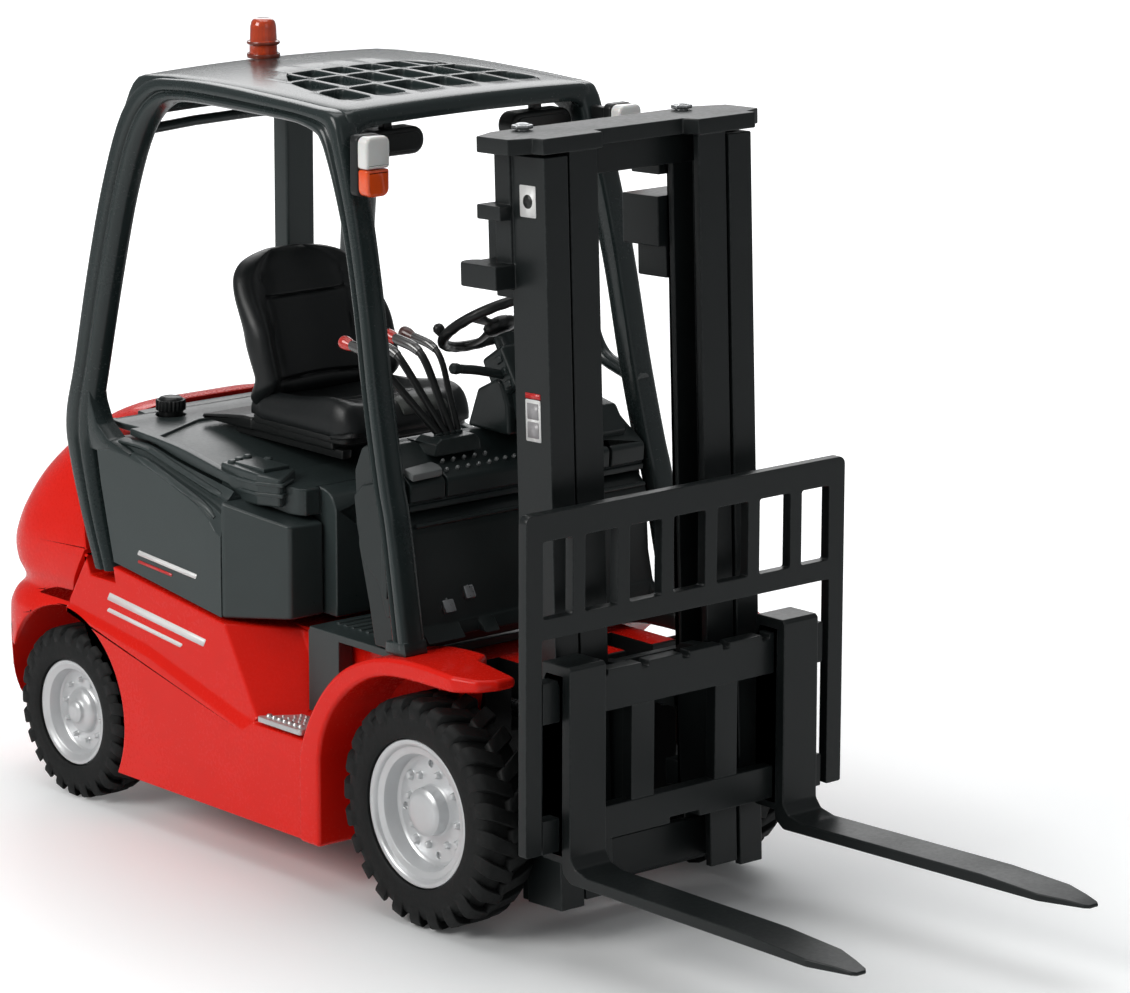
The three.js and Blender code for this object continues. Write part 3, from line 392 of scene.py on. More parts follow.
def material(name, color, rough, metal=0.0, coat=0.0, coat_rough=0.06, spec=0.5, trans=0.0,
             sss=0.0, tint_var=0.08, rough_var=0.08, broad=120, grain=900, grain_depth=2e-5,
             peel=0.0, edge_highlight=0.0, edge_highlight_color=None):
    """Principled surface broken up by a broad and a fine noise in object space.

    tint_var and rough_var are the swings of colour and roughness, broad and grain the noise
    scales, grain_depth and peel (a wavy paint surface) bump heights in metres; the last pair sets a
    painted edge highlight: how far sharp edges are lightened at most, and the colour they turn to.
    that sharp edges turn to edge_highlight_color.
    """
    mat = bpy.data.materials.new(name)
    mat.use_nodes = True
    tree = mat.node_tree
    tree.nodes.clear()
    wire = tree.links.new

    def add(kind, x, y, inputs=None, **settings):
        node = tree.nodes.new("ShaderNode" + kind)
        node.location = x, y
        for key, value in settings.items():
            setattr(node, key, value)
        for key, value in (inputs or {}).items():
            node.inputs[key].default_value = value
        return node

    output = add("OutputMaterial", 900, 0)
    shader = add("BsdfPrincipled", 600, 0, {
        "Metallic": metal, "Coat Weight": coat, "Coat Roughness": coat_rough,
        "Specular IOR Level": spec, "Transmission Weight": trans})
    wire(shader.outputs[0], output.inputs[0])
    coords = add("TexCoord", -900, 0)
    patches = add("TexNoise", -650, 200, {"Scale": broad, "Detail": 4})
    grains = add("TexNoise", -650, -150, {"Scale": grain, "Detail": 3, "Roughness": 0.6})
    for noise in (patches, grains):
        wire(coords.outputs["Object"], noise.inputs["Vector"])
    tint = add("ValToRGB", -400, 250)
    base = Vector(color)
    set_ramp(tint, (0.3, base * (1 - tint_var)),
             (0.7, [min(1, v) for v in base * (1 + tint_var)]))
    wire(patches.outputs["Fac"], tint.inputs["Fac"])
    color_out = tint.outputs["Color"]
    # roughness follows the mean of both noises
    rough_map = add("MapRange", -400, -50, {
        "From Min": 0.3, "From Max": 0.7,
        "To Min": max(0.02, rough - rough_var), "To Max": min(1, rough + rough_var)})
    mean = add("Math", -520, -20, {1: 0.5}, operation="MULTIPLY_ADD")
    wire(grains.outputs["Fac"], mean.inputs[0])
    half = add("Math", -560, 40, {1: 0.5}, operation="MULTIPLY")
    wire(patches.outputs["Fac"], half.inputs[0])
    wire(half.outputs[0], mean.inputs[2])
    wire(mean.outputs[0], rough_map.inputs["Value"])
    if edge_highlight > 0:
        # painted highlight: a rounded normal that departs from the true one marks an edge, which
        # turns lighter; the grain breaks it up
        soft_normal = add("Bevel", -650, -450, {"Radius": 0.00035}, samples=4)
        geometry = add("NewGeometry", -650, -600)
        agreement = add("VectorMath", -450, -500, operation="DOT_PRODUCT")
        wire(soft_normal.outputs[0], agreement.inputs[0])
        wire(geometry.outputs["Normal"], agreement.inputs[1])
        edge = add("MapRange", -280, -500, {
            "From Min": 0.995, "From Max": 0.90, "To Min": 0.0, "To Max": edge_highlight})
        wire(agreement.outputs["Value"], edge.inputs["Value"])
        highlight_mask = add("Math", -120, -480, operation="MULTIPLY", use_clamp=True)
        wire(edge.outputs[0], highlight_mask.inputs[0])
        breakup = add("MapRange", -280, -700, {"From Min": 0.4, "From Max": 0.62})
        wire(grains.outputs["Fac"], breakup.inputs["Value"])
        wire(breakup.outputs[0], highlight_mask.inputs[1])
        mix = add("Mix", 50, 200, data_type="RGBA")
        wire(highlight_mask.outputs[0], mix.inputs[0])
        wire(color_out, mix.inputs[6])
        mix.inputs[7].default_value = (*edge_highlight_color, 1)
        color_out = mix.outputs[2]
    wire(color_out, shader.inputs["Base Color"])
    wire(rough_map.outputs[0], shader.inputs["Roughness"])
    relief = add("Bump", 300, -250, {"Strength": 1.0, "Distance": grain_depth})
    wire(grains.outputs["Fac"], relief.inputs["Height"])
    if peel > 0:
        waves = add("TexNoise", -650, -300, {"Scale": 420, "Detail": 1})
        wire(coords.outputs["Object"], waves.inputs["Vector"])
        wave_relief = add("Bump", 120, -350, {"Distance": peel})
        wire(waves.outputs["Fac"], wave_relief.inputs["Height"])
        wire(wave_relief.outputs[0], relief.inputs["Normal"])
    wire(relief.outputs[0], shader.inputs["Normal"])
    if sss:
        shader.inputs["Subsurface Weight"].default_value = sss
        shader.inputs["Subsurface Radius"].default_value = (0.001, 0.0003, 0.0002)
    return mat


# the edge settings on the dark materials below paint a highlight along sharp edges
RED = material("red_gloss_paint", (0.77, 0.012, 0.005), rough=0.27, coat=0.22, coat_rough=0.05,
               grain=2600, grain_depth=8e-7, tint_var=0.03, rough_var=0.02, broad=60,
               peel=2.5e-6, spec=0.14)
MAST = material("black_satin_paint", (0.010, 0.0125, 0.0128), rough=0.36, coat=0.08,
                coat_rough=0.25, grain=1800, grain_depth=6e-6, tint_var=0.1, edge_highlight=0.22,
                edge_highlight_color=(0.09, 0.10, 0.10), peel=3e-6, spec=0.3)
GREY = material("grey_moulded_plastic", (0.032, 0.043, 0.043), rough=0.34, grain=2400,
                grain_depth=8e-6, rough_var=0.07, edge_highlight=0.3, edge_highlight_color=(0.11, 0.135, 0.135),
                coat=0.12, coat_rough=0.22, spec=0.38)
BLACK = material("black_moulded_plastic", (0.010, 0.011, 0.011), rough=0.36, grain=2000,
                 grain_depth=1e-5, tint_var=0.1, edge_highlight=0.25, edge_highlight_color=(0.07, 0.075, 0.075),
                 coat=0.08, coat_rough=0.2, spec=0.35)
VINYL = material("seat_grained_vinyl", (0.007, 0.0085, 0.009), rough=0.42, grain=1500,
                 tint_var=0.12, broad=200, edge_highlight=0.2, edge_highlight_color=(0.035, 0.04, 0.04), coat=0.14,
                 coat_rough=0.3, spec=0.32)
SEAT_PAD = material("seat_pad_grey", (0.055, 0.06, 0.055), rough=0.55, grain=1700,
                    grain_depth=4e-5, tint_var=0.12)
RUBBER = material("tyre_rubber", (0.0065, 0.0072, 0.0072), rough=0.62, grain=1600,
                  grain_depth=3e-5, tint_var=0.15, rough_var=0.1, spec=0.25, edge_highlight=0.2,
                  edge_highlight_color=(0.035, 0.037, 0.038))
RIM = material("rim_silver_paint", (0.66, 0.67, 0.68), rough=0.34, metal=0.55, grain=5000,
               grain_depth=2e-6, tint_var=0.02, rough_var=0.03, broad=300)
STEEL = material("bright_steel", (0.56, 0.57, 0.58), rough=0.28, metal=1.0, grain=3000,
                 grain_depth=6e-6, tint_var=0.06, rough_var=0.1)
STEP = material("step_silver", (0.62, 0.62, 0.62), rough=0.35, metal=0.7, grain=2500,
                grain_depth=1e-5, rough_var=0.1)
WHITE = material("white_lens", (0.80, 0.80, 0.78), rough=0.18, coat=0.8, grain=1200,
                 grain_depth=8e-6, tint_var=0.04, rough_var=0.05, sss=0.15)
ORANGE = material("orange_lens", (0.85, 0.09, 0.01), rough=0.16, coat=0.9, grain=1200,
                  grain_depth=8e-6, rough_var=0.05, sss=0.15)
BEACON = material("beacon_amber_red", (0.80, 0.075, 0.008), rough=0.14, coat=1.0,
                  grain_depth=1e-5, tint_var=0.15, rough_var=0.05, broad=500, trans=0.35, sss=0.1)
KNOB_RED = material("lever_knob_red", (0.62, 0.03, 0.02), rough=0.25, coat=0.8, grain=1500,
                    grain_depth=6e-6, tint_var=0.06, rough_var=0.05)
KNOB_DARK = material("lever_knob_dark", (0.10, 0.045, 0.04), rough=0.3, coat=0.5, grain=1500,
                     grain_depth=6e-6, tint_var=0.1, rough_var=0.05)
STRIPE_WHITE = material("white_stripe", (0.86, 0.86, 0.85), rough=0.3, grain=3000,
                        grain_depth=3e-6, tint_var=0.02, rough_var=0.05, coat=0.5)
STRIPE_RED = material("red_stripe", (0.62, 0.02, 0.02), rough=0.3, grain=3000,
                      grain_depth=3e-6, tint_var=0.04, rough_var=0.05, coat=0.5)
BUTTON = material("button_silver", (0.22, 0.23, 0.23), rough=0.3, metal=0.6, grain=3000,
                  grain_depth=4e-6, tint_var=0.05)
PALE_PAD = material("pale_grey_pad", (0.15, 0.16, 0.16), rough=0.45, grain=2000,
                    grain_depth=1e-5)
GUARD = material("guard_glossy_grey", (0.019, 0.028, 0.028), rough=0.27, grain=2400,
                 grain_depth=3e-7, tint_var=0.02, rough_var=0.01, edge_highlight=0.08,
                 edge_highlight_color=(0.08, 0.10, 0.10), coat=0.25, coat_rough=0.14, peel=1.5e-6,
                 spec=0.38)
SHEATH = material("lever_sheath_grey", (0.14, 0.14, 0.14), rough=0.22, metal=0.5, coat=0.5,
                  grain=2400, grain_depth=6e-6, rough_var=0.06)
BEACON_RING = material("beacon_ring_dark", (0.22, 0.03, 0.01), rough=0.25, coat=0.6,
                       grain=1500, grain_depth=6e-6, tint_var=0.1, rough_var=0.06)
DARK_GREY = material("dark_grey_plastic", (0.013, 0.019, 0.019), rough=0.34, grain=2400,
                     grain_depth=8e-6, rough_var=0.07, edge_highlight=0.30, edge_highlight_color=(0.07, 0.09, 0.09),
                     coat=0.10, coat_rough=0.22, spec=0.34)
LABEL_GREY = material("label_pane_grey", (0.34, 0.33, 0.34), rough=0.35, grain=3000,
                      grain_depth=3e-6, rough_var=0.05, coat=0.4)


# ============================================================ wheels
LUGS = 24                   # per side of the tread
TREAD_RADIUS = 13.2         # tyre radius the tread sizes are given for
# rim profiles: radius, depth from the outer face
FRONT_RIM = [
    (0, -0.62), (0.9, -0.60), (1.9, -0.66), (2.45, -0.82), (2.68, -1.05), (2.74, -1.4),
    (2.78, -2.35), (2.95, -2.52), (3.2, -2.56), (5.75, -2.62), (6.05, -2.55), (6.25, -2.36),
    (6.45, -1.15), (6.62, -0.72), (6.82, -0.62), (7.30, -0.60), (7.46, -0.52), (7.54, -0.32),
    (7.72, -0.10), (8.0, 0.0), (8.28, -0.06), (8.42, -0.26), (8.44, -0.6), (8.3, -0.95),
    (8.1, -1.2), (8.1, -5.2), (8.44, -5.4), (8.44, -6.1), (7.6, -6.2), (6.9, -5.8), (6.6, -4.2),
    (3.2, -4.0), (1.4, -3.9), (0, -3.9)]
REAR_RIM = [
    (0, -0.05), (0.55, -0.06), (1.0, -0.16), (1.28, -0.36), (1.36, -0.62), (1.42, -0.78),
    (1.9, -0.92), (2.35, -1.12), (2.62, -1.42), (2.70, -1.72), (2.85, -1.86), (3.1, -1.9),
    (4.5, -1.95), (4.8, -1.9), (4.98, -1.72), (5.14, -0.75), (5.3, -0.42), (5.5, -0.3),
    (5.72, -0.22), (5.9, -0.06), (6.12, 0.0), (6.34, -0.05), (6.46, -0.24), (6.48, -0.55),
    (6.36, -0.9), (6.2, -1.1), (6.2, -3.6), (6.48, -3.8), (6.48, -4.4), (5.8, -4.5), (5.3, -4.2),
    (5.0, -3.2), (2.6, -3.1), (1.2, -3.0), (0, -3.0)]
# radius, height above the disc face
NUT = [(0, 0.62), (0.55, 0.6), (0.85, 0.48), (0.98, 0.28), (1.0, -0.3), (0, -0.3)]
BOSS = [(0, 0.55), (0.36, 0.5), (0.52, 0.32), (0.58, 0.05), (0.6, -0.3), (0, -0.3)]


def tyre(name, node, bore, slant):
    """Tyre body with two staggered rows of lugs; slant is degrees per mm across the tread."""
    (x0, _, _), (x1, _, top) = node_box(node)
    _, cy, cz = centre(node)
    mid, half, radius = (x0 + x1) / 2, (x1 - x0) / 2, top - cz
    scale = radius / TREAD_RADIUS
    wall = [(bore + 0.05, 0.80), (bore + 0.10, 0.93), (bore + 0.45 * scale, 0.985),
            (bore + 1.1 * scale, 1)]
    wall += [(radius - drop * scale, across) for drop, across in
             ((2.9, 1.0), (2.2, 0.985), (1.5, 0.93), (1.05, 0.80), (0.85, 0.5), (0.8, 0))]
    profile = [(r, mid - half * a) for r, a in wall]
    profile += [(r, mid + half * a) for r, a in reversed(wall[:-1])]
    profile += [(bore + 0.05, mid + half * 0.4), (bore + 0.05, mid - half * 0.4)]
    carcass = lathe(profile, "x", cy, cz, 120, closed=True)
    # lug section: distance from the middle over half width, drop from the tread radius
    section = [(half * across, radius - drop * scale) for across, drop in (
        (0.93, 2.55), (1.0, 2.35), (1.0, 1.05), (0.90, 0.35), (0.76, 0.06), (0.4, 0),
        (-0.10, 0), (-0.16, 0.3), (-0.16, 1.0), (0.5, 1.2), (0.80, 1.9))]
    lugs = []
    for side in (-1, 1):
        for i in range(LUGS):
            start = 2 * pi * (i + (0.5 if side > 0 else 0)) / LUGS
            faces = []
            for flank in (-1, 1):
                points = []
                for x, r in section:
                    width = radians(360 / LUGS) * (0.29 if x > half * 0.6 else 0.26)
                    turn = start + radians(slant) * (half - x) / scale + flank * width
                    points.append((mid + side * x, cy + r * cos(turn), cz + r * sin(turn)))
                faces.append(points)
            lugs.append(bevel(bridge(*faces), 0.11 * scale, 40, 1, clean=0))
    obj = join(carcass, merge(*lugs))
    finish(name, obj, RUBBER, node, body=BODY[node], smooth=42, weighted=False)


def rim(name, node, profile, nuts, nut_circle, nut_size, face_depth, cast=False):
    """Turned wheel disc with nuts; a cast one also has four bosses and four holes."""
    low, high = node_box(node)
    _, cy, cz = centre(node)
    side = -1 if low[0] < 0 else 1
    outer = max(abs(low[0]), abs(high[0]))
    scale = (high[2] - cz) / max(r for r, _ in profile)
    obj = lathe([(r * scale, side * (outer + d)) for r, d in profile], "x", cy, cz, 96)

    def on_circle(radius, turn):
        return cy + radius * cos(2 * pi * turn), cz + radius * sin(2 * pi * turn)

    def stud(shape, size, place):
        points = [(r * size, side * (outer - face_depth + h)) for r, h in shape]
        return lathe(points, "x", *place, 14)

    for i in range(nuts):
        obj = join(obj, stud(NUT, nut_size, on_circle(nut_circle, (i + 0.25) / nuts)))
    if cast:
        for i in range(4):
            obj = join(obj, stud(BOSS, 1, on_circle(5.15, (i + 0.42) / 4)))
        depth = sorted((side * (outer - 3.1), side * (outer - 2)))
        for i in range(4):
            obj = cut(obj, cylinder("x", *on_circle(5.2, (i + 0.92) / 4), 0.42, *depth, 18))
    bevel(obj, 0.05, 50, 1, clean=0)
    finish(name, obj, RIM, node, body=BODY[node], smooth=32)


for _, side_name in SIDES:
    tyre("front_tread_" + side_name, "front_tyre_" + side_name, bore=8.46, slant=2.2)
    tyre("rear_tread_" + side_name, "rear_tyre_" + side_name, bore=6.5, slant=2.4)
    rim("front_wheel_" + side_name, "front_rim_" + side_name, FRONT_RIM, nuts=8,
        nut_circle=4.25, nut_size=0.44, face_depth=2.60, cast=True)
    rim("rear_wheel_disc_" + side_name, "rear_rim_" + side_name, REAR_RIM, nuts=10,
        nut_circle=3.75, nut_size=0.33, face_depth=1.93)


# ============================================================ red body
# (y, z) outline of the recess the guard's rear leg stands in
LEG_RECESS = [(57.4, 28.6), (62.4, 28.6), (64.9, 35.2), (67.4, 42.6), (68.1, 49.5), (58.2, 49.5),
              (58.2, 44.6), (61.0, 44.0), (60.3, 40.2)]
ARCH_CENTRE = (67.7, 11.3)      # (y, z) of the rear wheel arch
ARCH_RADIUS = 12.3
# (y, z) edges of the front fender, front to rear and back
FENDER_OUTER = [(20.8, 15.5), (20.0, 18.0), (18.4, 21.2), (16.0, 24.4), (13.0, 27.0), (9.5, 28.8),
                (5.5, 30.0), (0.5, 30.5), (-4.5, 30.45), (-10.8, 30.1)]
FENDER_INNER = [(-10.8, 28.9), (-6.0, 28.4), (0.5, 28.3), (4.5, 28.0), (7.6, 27.2), (10.4, 25.8),
                (12.9, 23.9), (14.9, 21.6), (16.4, 18.8), (17.1, 15.8)]
FENDER_PLAN = [(-22.9, 21), (-22.9, -6.6, 2.5), (-21.6, -9.4, 1.2), (-19.6, -10.6, 1.0),
               (-17.0, -10.6, 0.6), (-16.2, -3.5, 0.8), (-14.0, -2.2), (-14.0, 21)]
# (y, z) outlines of the side panel and of the flared skirt over it
SILL = [(20.4, 5.3), (57, 5.3), (61, 9), (66.9, 12)]
PANEL = SILL + [(66.9, 24.7), (63.6, 30.0), (63.3, 30.9), (56.9, 30.4), (36.4, 27.8), (25, 26.4),
                (20.4, 17.4)]
SKIRT_OUTER = SILL + [(66.9, 23.6), (65, 23.4), (50, 20.9), (32.1, 16.0), (29.9, 17.3),
                      (20.4, 17.3)]
SKIRT_INNER = SILL + [(66.9, 24.5), (65, 24.2), (50.9, 22.4), (31.5, 17.8), (29.9, 18.0),
                      (20.4, 18.0)]
# three points of the slanting face above the step
SLANT_FACE = [Vector((-22.3, 36.4, 27.8)), Vector((-22.3, 30.0, 17.2)), Vector((-17.2, 26.5, 17.2))]


def leg_recess(side):
    return prism(LEG_RECESS, "x", *sorted((side * 23, side * 18.1)))


def arch(radius, x0, x1, steps=120, middle=ARCH_CENTRE):
    return cylinder("x", *middle, radius, x0, x1, steps)


def body_side():
    profile = [(20.8, 5.3)] + curve(FENDER_OUTER) + curve(FENDER_INNER) + [(17.1, 5.3)]
    fender = intersect(prism(profile, "x", -22.9, -14.0),
                       prism(rounded(FENDER_PLAN), "z", 0, 60))
    bevel(fender, 0.55, 40, 4)
    panel = prism(PANEL, "x", -21.75, -14.0)
    skirt = skin([[(x, *p) for p in outline] for x, outline in
                  ((-22.3, SKIRT_OUTER), (-21.60, SKIRT_INNER), (-18.0, SKIRT_INNER))])
    side = join(panel, skirt)
    corner, second, third = SLANT_FACE
    normal = (second - corner).cross(third - corner).normalized()
    if normal.x > 0:
        normal = -normal
    tool = placed(box(-30, 30, -30, 30, 0, 40), Matrix.Translation(corner) @ toward(normal))
    tool = intersect(tool, box(-30, -14.6, 10, 37, 17.2, 40))
    side = cut(side, tool, arch(ARCH_RADIUS, -25, -10), arch(14.6, -21.45, -10.8))
    side = cut(side, leg_recess(-1), box(-23.5, -12.8, 55.5, 70, 31.0, 40),
               box(-17.2, -14.5, 20.5, 26.7, 18.3, 29))
    bevel(side, 0.28, 22)
    return join(fender, side)


def red_body():
    """Both sides and the tub between them, hollowed for the running gear."""
    tilt_z = centre("tilt_barrel_right")[2]
    _, pin_y, pin_z = centre("mast_pivot_pin")
    body = body_side()
    left = mirrored(body)
    tub = bevel(box(-14.4, 14.4, -2.2, 59, 6, 27.4), 0.3)
    body = join(body, left, tub)
    body = cut(
        body, box(-12.4, 12.4, 4.5, 57, 3, 25.8), box(-12.6, 12.6, 56, 80, 4.5, 16.5),
        cylinder("x", 0, 13.2, 1.29, -30, 30, 40),
        box(-10.6, -6.4, -4, 5, tilt_z - 2.2, 28), box(6.4, 10.6, -4, 5, tilt_z - 2.2, 28),
        box(-3, 3, -4, 5, 8, 10.5), box(-17.7, 17.7, 8.1, 26.7, 27.4, 33),
        arch(14.6, -21.4, -10.8), arch(14.6, 10.8, 21.4),
        arch(15.0, -20.6, -10.8, 96, (66.4, 10.8)), arch(15.0, 10.8, 20.6, 96, (66.4, 10.8)))
    lug_radius = 1.7
    for x0, x1 in ((-6.2, -4.2), (4.2, 6.2)):
        lug = join(box(x0, x1, pin_y, -1.9, pin_z - lug_radius, pin_z + lug_radius),
                   cylinder("x", pin_y, pin_z, lug_radius, x0 + 0.001, x1 - 0.001, 40))
        body = join(body, lug)
    body = cut(body, cylinder("x", pin_y, pin_z, 0.86, -9, 9, 32))
    finish("body_casting", body, RED, "red_body", smooth=30)
    body.data.materials.append(BLACK)       # painted shade: the front of the tub behind the mast turns black where it lies in shade
    # painted shade: faces at the front of the tub get the black material
    for face in body.data.polygons:
        middle = face.center * 1000
        if abs(middle.x) < 14.6 and middle.y - AXLE_Y * 1000 < 8.3:
            face.material_index = 1


red_body()


# ============================================================ counterweight
# z, half width, rear y, plan corner radius
WEIGHT_ROWS = [
    (6.6, 21.2, 80.6, 9.6), (7.2, 21.7, 81.6, 9.8), (8.8, 22.1, 83.3, 10), (12, 22.25, 84.45, 10),
    (17, 22.3, 84.6, 10), (21.0, 22.3, 84.55, 10), (22.4, 22.15, 84.3, 10),
    (23.5, 21.75, 83.8, 10), (24.3, 21.2, 83.2, 10), (25.1, 21.0, 83.0, 10),
    (26.0, 21.2, 83.15, 10), (27.2, 21.6, 83.6, 10), (29, 21.75, 83.9, 10), (31, 21.6, 83.7, 10),
    (34.2, 21.0, 82.7, 10.2), (38.2, 19.9, 80.6, 10.8), (41.8, 18.1, 77.8, 11.0),
    (44.4, 15.9, 74.8, 10.2), (46.0, 13.4, 72.2, 8.6), (47.0, 10.6, 69.3, 6.2),
    (47.4, 7.6, 66.6, 4)]
WEIGHT_FRONT = 58.0
CORNER_POWER = 0.86         # below 1 squares the corners a little
WEIGHT_KEEP = [(59.6, 6), (59.6, 17), (67.3, 17), (67.3, 25), (64.2, 30.4), (63.8, 31.4),
               (62.2, 31.4), (62.2, 49), (90, 49), (90, 6)]     # (y, z)
TOP_RECESS = [(-17.6, 60), (17.6, 60), (17.6, 62.4), (16.2, 65.4, 3.4), (-16.2, 65.4, 3.4),
              (-17.6, 62.4)]                                     # (x, y)


def counterweight():
    heights = np.concatenate([np.linspace(WEIGHT_ROWS[0][0], 21, 14), np.linspace(21, 28, 22)[1:],
                              np.linspace(28, WEIGHT_ROWS[-1][0], 40)[1:]])
    curves = [curve([(row[0], row[k]) for row in WEIGHT_ROWS], 12) for k in (1, 2, 3)]
    loops = []
    for z in heights:
        half, rear, radius = [at(table, z) for table in curves]
        radius = min(radius, half * 0.98, (rear - WEIGHT_FRONT) * 0.9)
        length = rear - radius - WEIGHT_FRONT
        right = [(-half, WEIGHT_FRONT, z)]
        right += [(-half, WEIGHT_FRONT + length * t, z) for t in np.linspace(0.12, 1, 8)[:-1]]
        for k in range(13):
            turn = pi + k / 12 * (-pi / 2)
            across = copysign(abs(cos(turn)) ** CORNER_POWER, cos(turn))
            right.append((-half + radius + radius * across,
                          rear - radius + radius * abs(sin(turn)) ** CORNER_POWER, z))
        back = [(t * (half - radius), rear, z) for t in np.linspace(-1, 1, 9)[1:-1]]
        loops.append(right + back + [(-x, y, z) for x, y, z in reversed(right)])
    obj = intersect(skin(loops), prism(WEIGHT_KEEP, "x", -30, 30))
    obj = cut(obj, arch(ARCH_RADIUS, -25, -10.8), arch(ARCH_RADIUS, 10.8, 25),
              arch(14.3, -21.2, -10.8, 96), arch(14.3, 10.8, 21.2, 96),
              box(-12.6, 12.6, 56, 75, 4, 16.8), leg_recess(-1), leg_recess(1),
              box(-25, -21.0, 78.3, 82, 4, 16.6), box(21.0, 25, 78.3, 82, 4, 16.6),
              cylinder("y", 0, 15.5, 1.7, 80, 90, 40), box(-3.4, 3.4, 81.6, 90, 13.2, 17.8),
              prism(rounded(TOP_RECESS, 6), "z", 45.2, 50))
    return bevel(obj, 0.22, 40, clean=0.15)


def tow_pin():
    pin_y = 82.6
    head = [(0, 18.6), (0.8, 18.55), (1.1, 18.3), (1.1, 17.9), (0.6, 17.8), (0, 17.8)]
    return join(cylinder("z", 0, pin_y, 0.62, 12.9, 18.2, 24), lathe(head, "z", 0, pin_y, 24))


finish("counterweight_casting", counterweight(), RED, "counterweight", smooth=34)
finish("tow_pin", tow_pin(), STEEL)
studs = [lathe([(0, z + 0.32), (0.3, z + 0.3), (0.42, z + 0.1), (0.45, z - 0.6), (0, z - 0.6)],
               "z", x, y, 16)
         for x, y, z in ((-3.0, 67.0, 46.9), (-1.0, 67.6, 46.8), (-8.2, 67.2, 46.6),
                         (-13.2, 67.0, 45.0))]
finish("counterweight_studs", merge(*studs), BLACK)


# ============================================================ overhead guard
# (y, z) stations of the rail's outer and inner edge: front leg, roof, rear leg
RAIL_OUTER = [
    (3.0, 31.0), (5.9, 44.0), (7.3, 49.0), (9.5, 58.0), (11.5, 68.0), (13.4, 76.0), (15.2, 82.0),
    (16.7, 86.2), (17.4, 88.0), (18.6, 88.95), (22.4, 89.15), (28.0, 89.35), (40.0, 89.55),
    (48.6, 89.3), (54.6, 88.3), (58.9, 84.2), (61.9, 75.6), (64.1, 65.0), (65.8, 54.0),
    (67.2, 47.0), (66.6, 42.6), (64.4, 36.0), (61.7, 29.6)]
RAIL_INNER = [
    (5.8, 31.0), (8.3, 43.4), (9.9, 48.4), (12.1, 57.4), (14.1, 67.4), (16.2, 75.2), (18.0, 79.8),
    (19.8, 83.4), (20.9, 85.1), (22.0, 86.0), (24.6, 86.7), (28.4, 86.9), (40.0, 86.9),
    (47.5, 86.7), (51.6, 85.6), (54.9, 82.0), (57.6, 74.6), (59.7, 64.6), (61.6, 53.6),
    (62.6, 47.0), (62.4, 43.4), (60.8, 36.4), (58.4, 29.6)]
# rail section: share of the way from outer to inner edge, offset in x over half width
RAIL_SECTION = [
    (0.0, 0.0), (0.0, -0.52), (0.03, -0.78), (0.09, -0.94), (0.17, -1.0), (0.36, -1.0),
    (0.43, -0.95), (0.475, -0.82), (0.50, -0.70), (0.535, -0.66), (0.57, -0.70), (0.60, -0.82),
    (0.65, -0.93), (0.71, -0.97), (0.79, -0.93), (0.86, -0.80), (0.93, -0.58), (0.98, -0.30),
    (1.0, 0.0), (1.0, 0.45), (0.97, 0.75), (0.90, 0.93), (0.80, 1.0), (0.22, 1.0), (0.10, 0.93),
    (0.03, 0.75), (0.0, 0.45)]
# (y, z) section of the roof panel: top front to rear, then underside back
ROOF = [
    (17.15, 87.05), (17.2, 87.7), (17.32, 88.5), (17.65, 88.95), (18.3, 89.12), (20.4, 89.24),
    (22.4, 89.32), (25.0, 89.42), (29, 89.52), (34, 89.6), (40, 89.64), (46, 89.55), (51, 89.4),
    (55.2, 89.1), (56.6, 88.8), (57.6, 88.0), (58.4, 86.9), (59.5, 84.9), (60.0, 83.8),
    (58.3, 83.5), (57.3, 85.2), (56.2, 86.9), (55.0, 87.6), (51, 88.0), (46, 88.2), (40, 88.28),
    (34, 88.2), (29, 88.1), (25.0, 88.0), (22.4, 87.9), (20.4, 87.75), (19.2, 87.5), (18.5, 87.1)]
ROOF_HALF = 17.75
GRILLE = [(-15.1, 21.6, 1.6), (15.1, 21.6, 1.6), (14.2, 28.3, 3), (12.6, 35.2, 3.5),
          (8.9, 40.7, 3.2), (-8.9, 40.7, 3.2), (-12.6, 35.2, 3.5), (-14.2, 28.3, 3)]  # (x, y)
GRILLE_ROWS = ((21.5, 27.85), (28.75, 34.95), (35.85, 40.8))                          # y spans
GRILLE_PITCH = 5.0667
GRILLE_GAP = 0.42           # from a cell edge to the pitch line
HANDLE = [(18.8, 9.0, 55.3), (18.8, 13.0, 56.2), (18.75, 15.9, 57.3), (18.6, 17.7, 60.2),
          (18.3, 18.9, 66.0), (18.2, 19.3, 71.0), (18.2, 18.2, 74.0), (18.1, 13.6, 75.4)]
GUSSET = [(62.9, 53.0), (62.3, 49.6), (61.2, 47.3, 2.2), (58.7, 45.5, 2.0), (54.6, 44.6),
          (54.6, 43.9), (62.6, 43.9), (63.4, 47)]                                     # (y, z)


def rail_place(y, z):
    """Middle x and half width of the right rail."""
    front = 20.0 - 0.037 * (z - 31)
    rear = 20.3 if z < 49 else 20.3 - 0.079 * (z - 49)
    t = clamp((y - 12) / 42)
    return -(front * (1 - t) + rear * t), 1.62 - 0.12 * ease(0.3, 0.8, t)


def rail():
    loops = []
    for (y0, z0), (y1, z1) in zip(curve(RAIL_OUTER), curve(RAIL_INNER)):
        loop = []
        for inward, sideways in RAIL_SECTION:
            y, z = y0 + (y1 - y0) * inward, z0 + (z1 - z0) * inward
            x, half = rail_place(y, z)
            loop.append((x + sideways * half, y, z))
        loops.append(loop)
    return skin(loops)


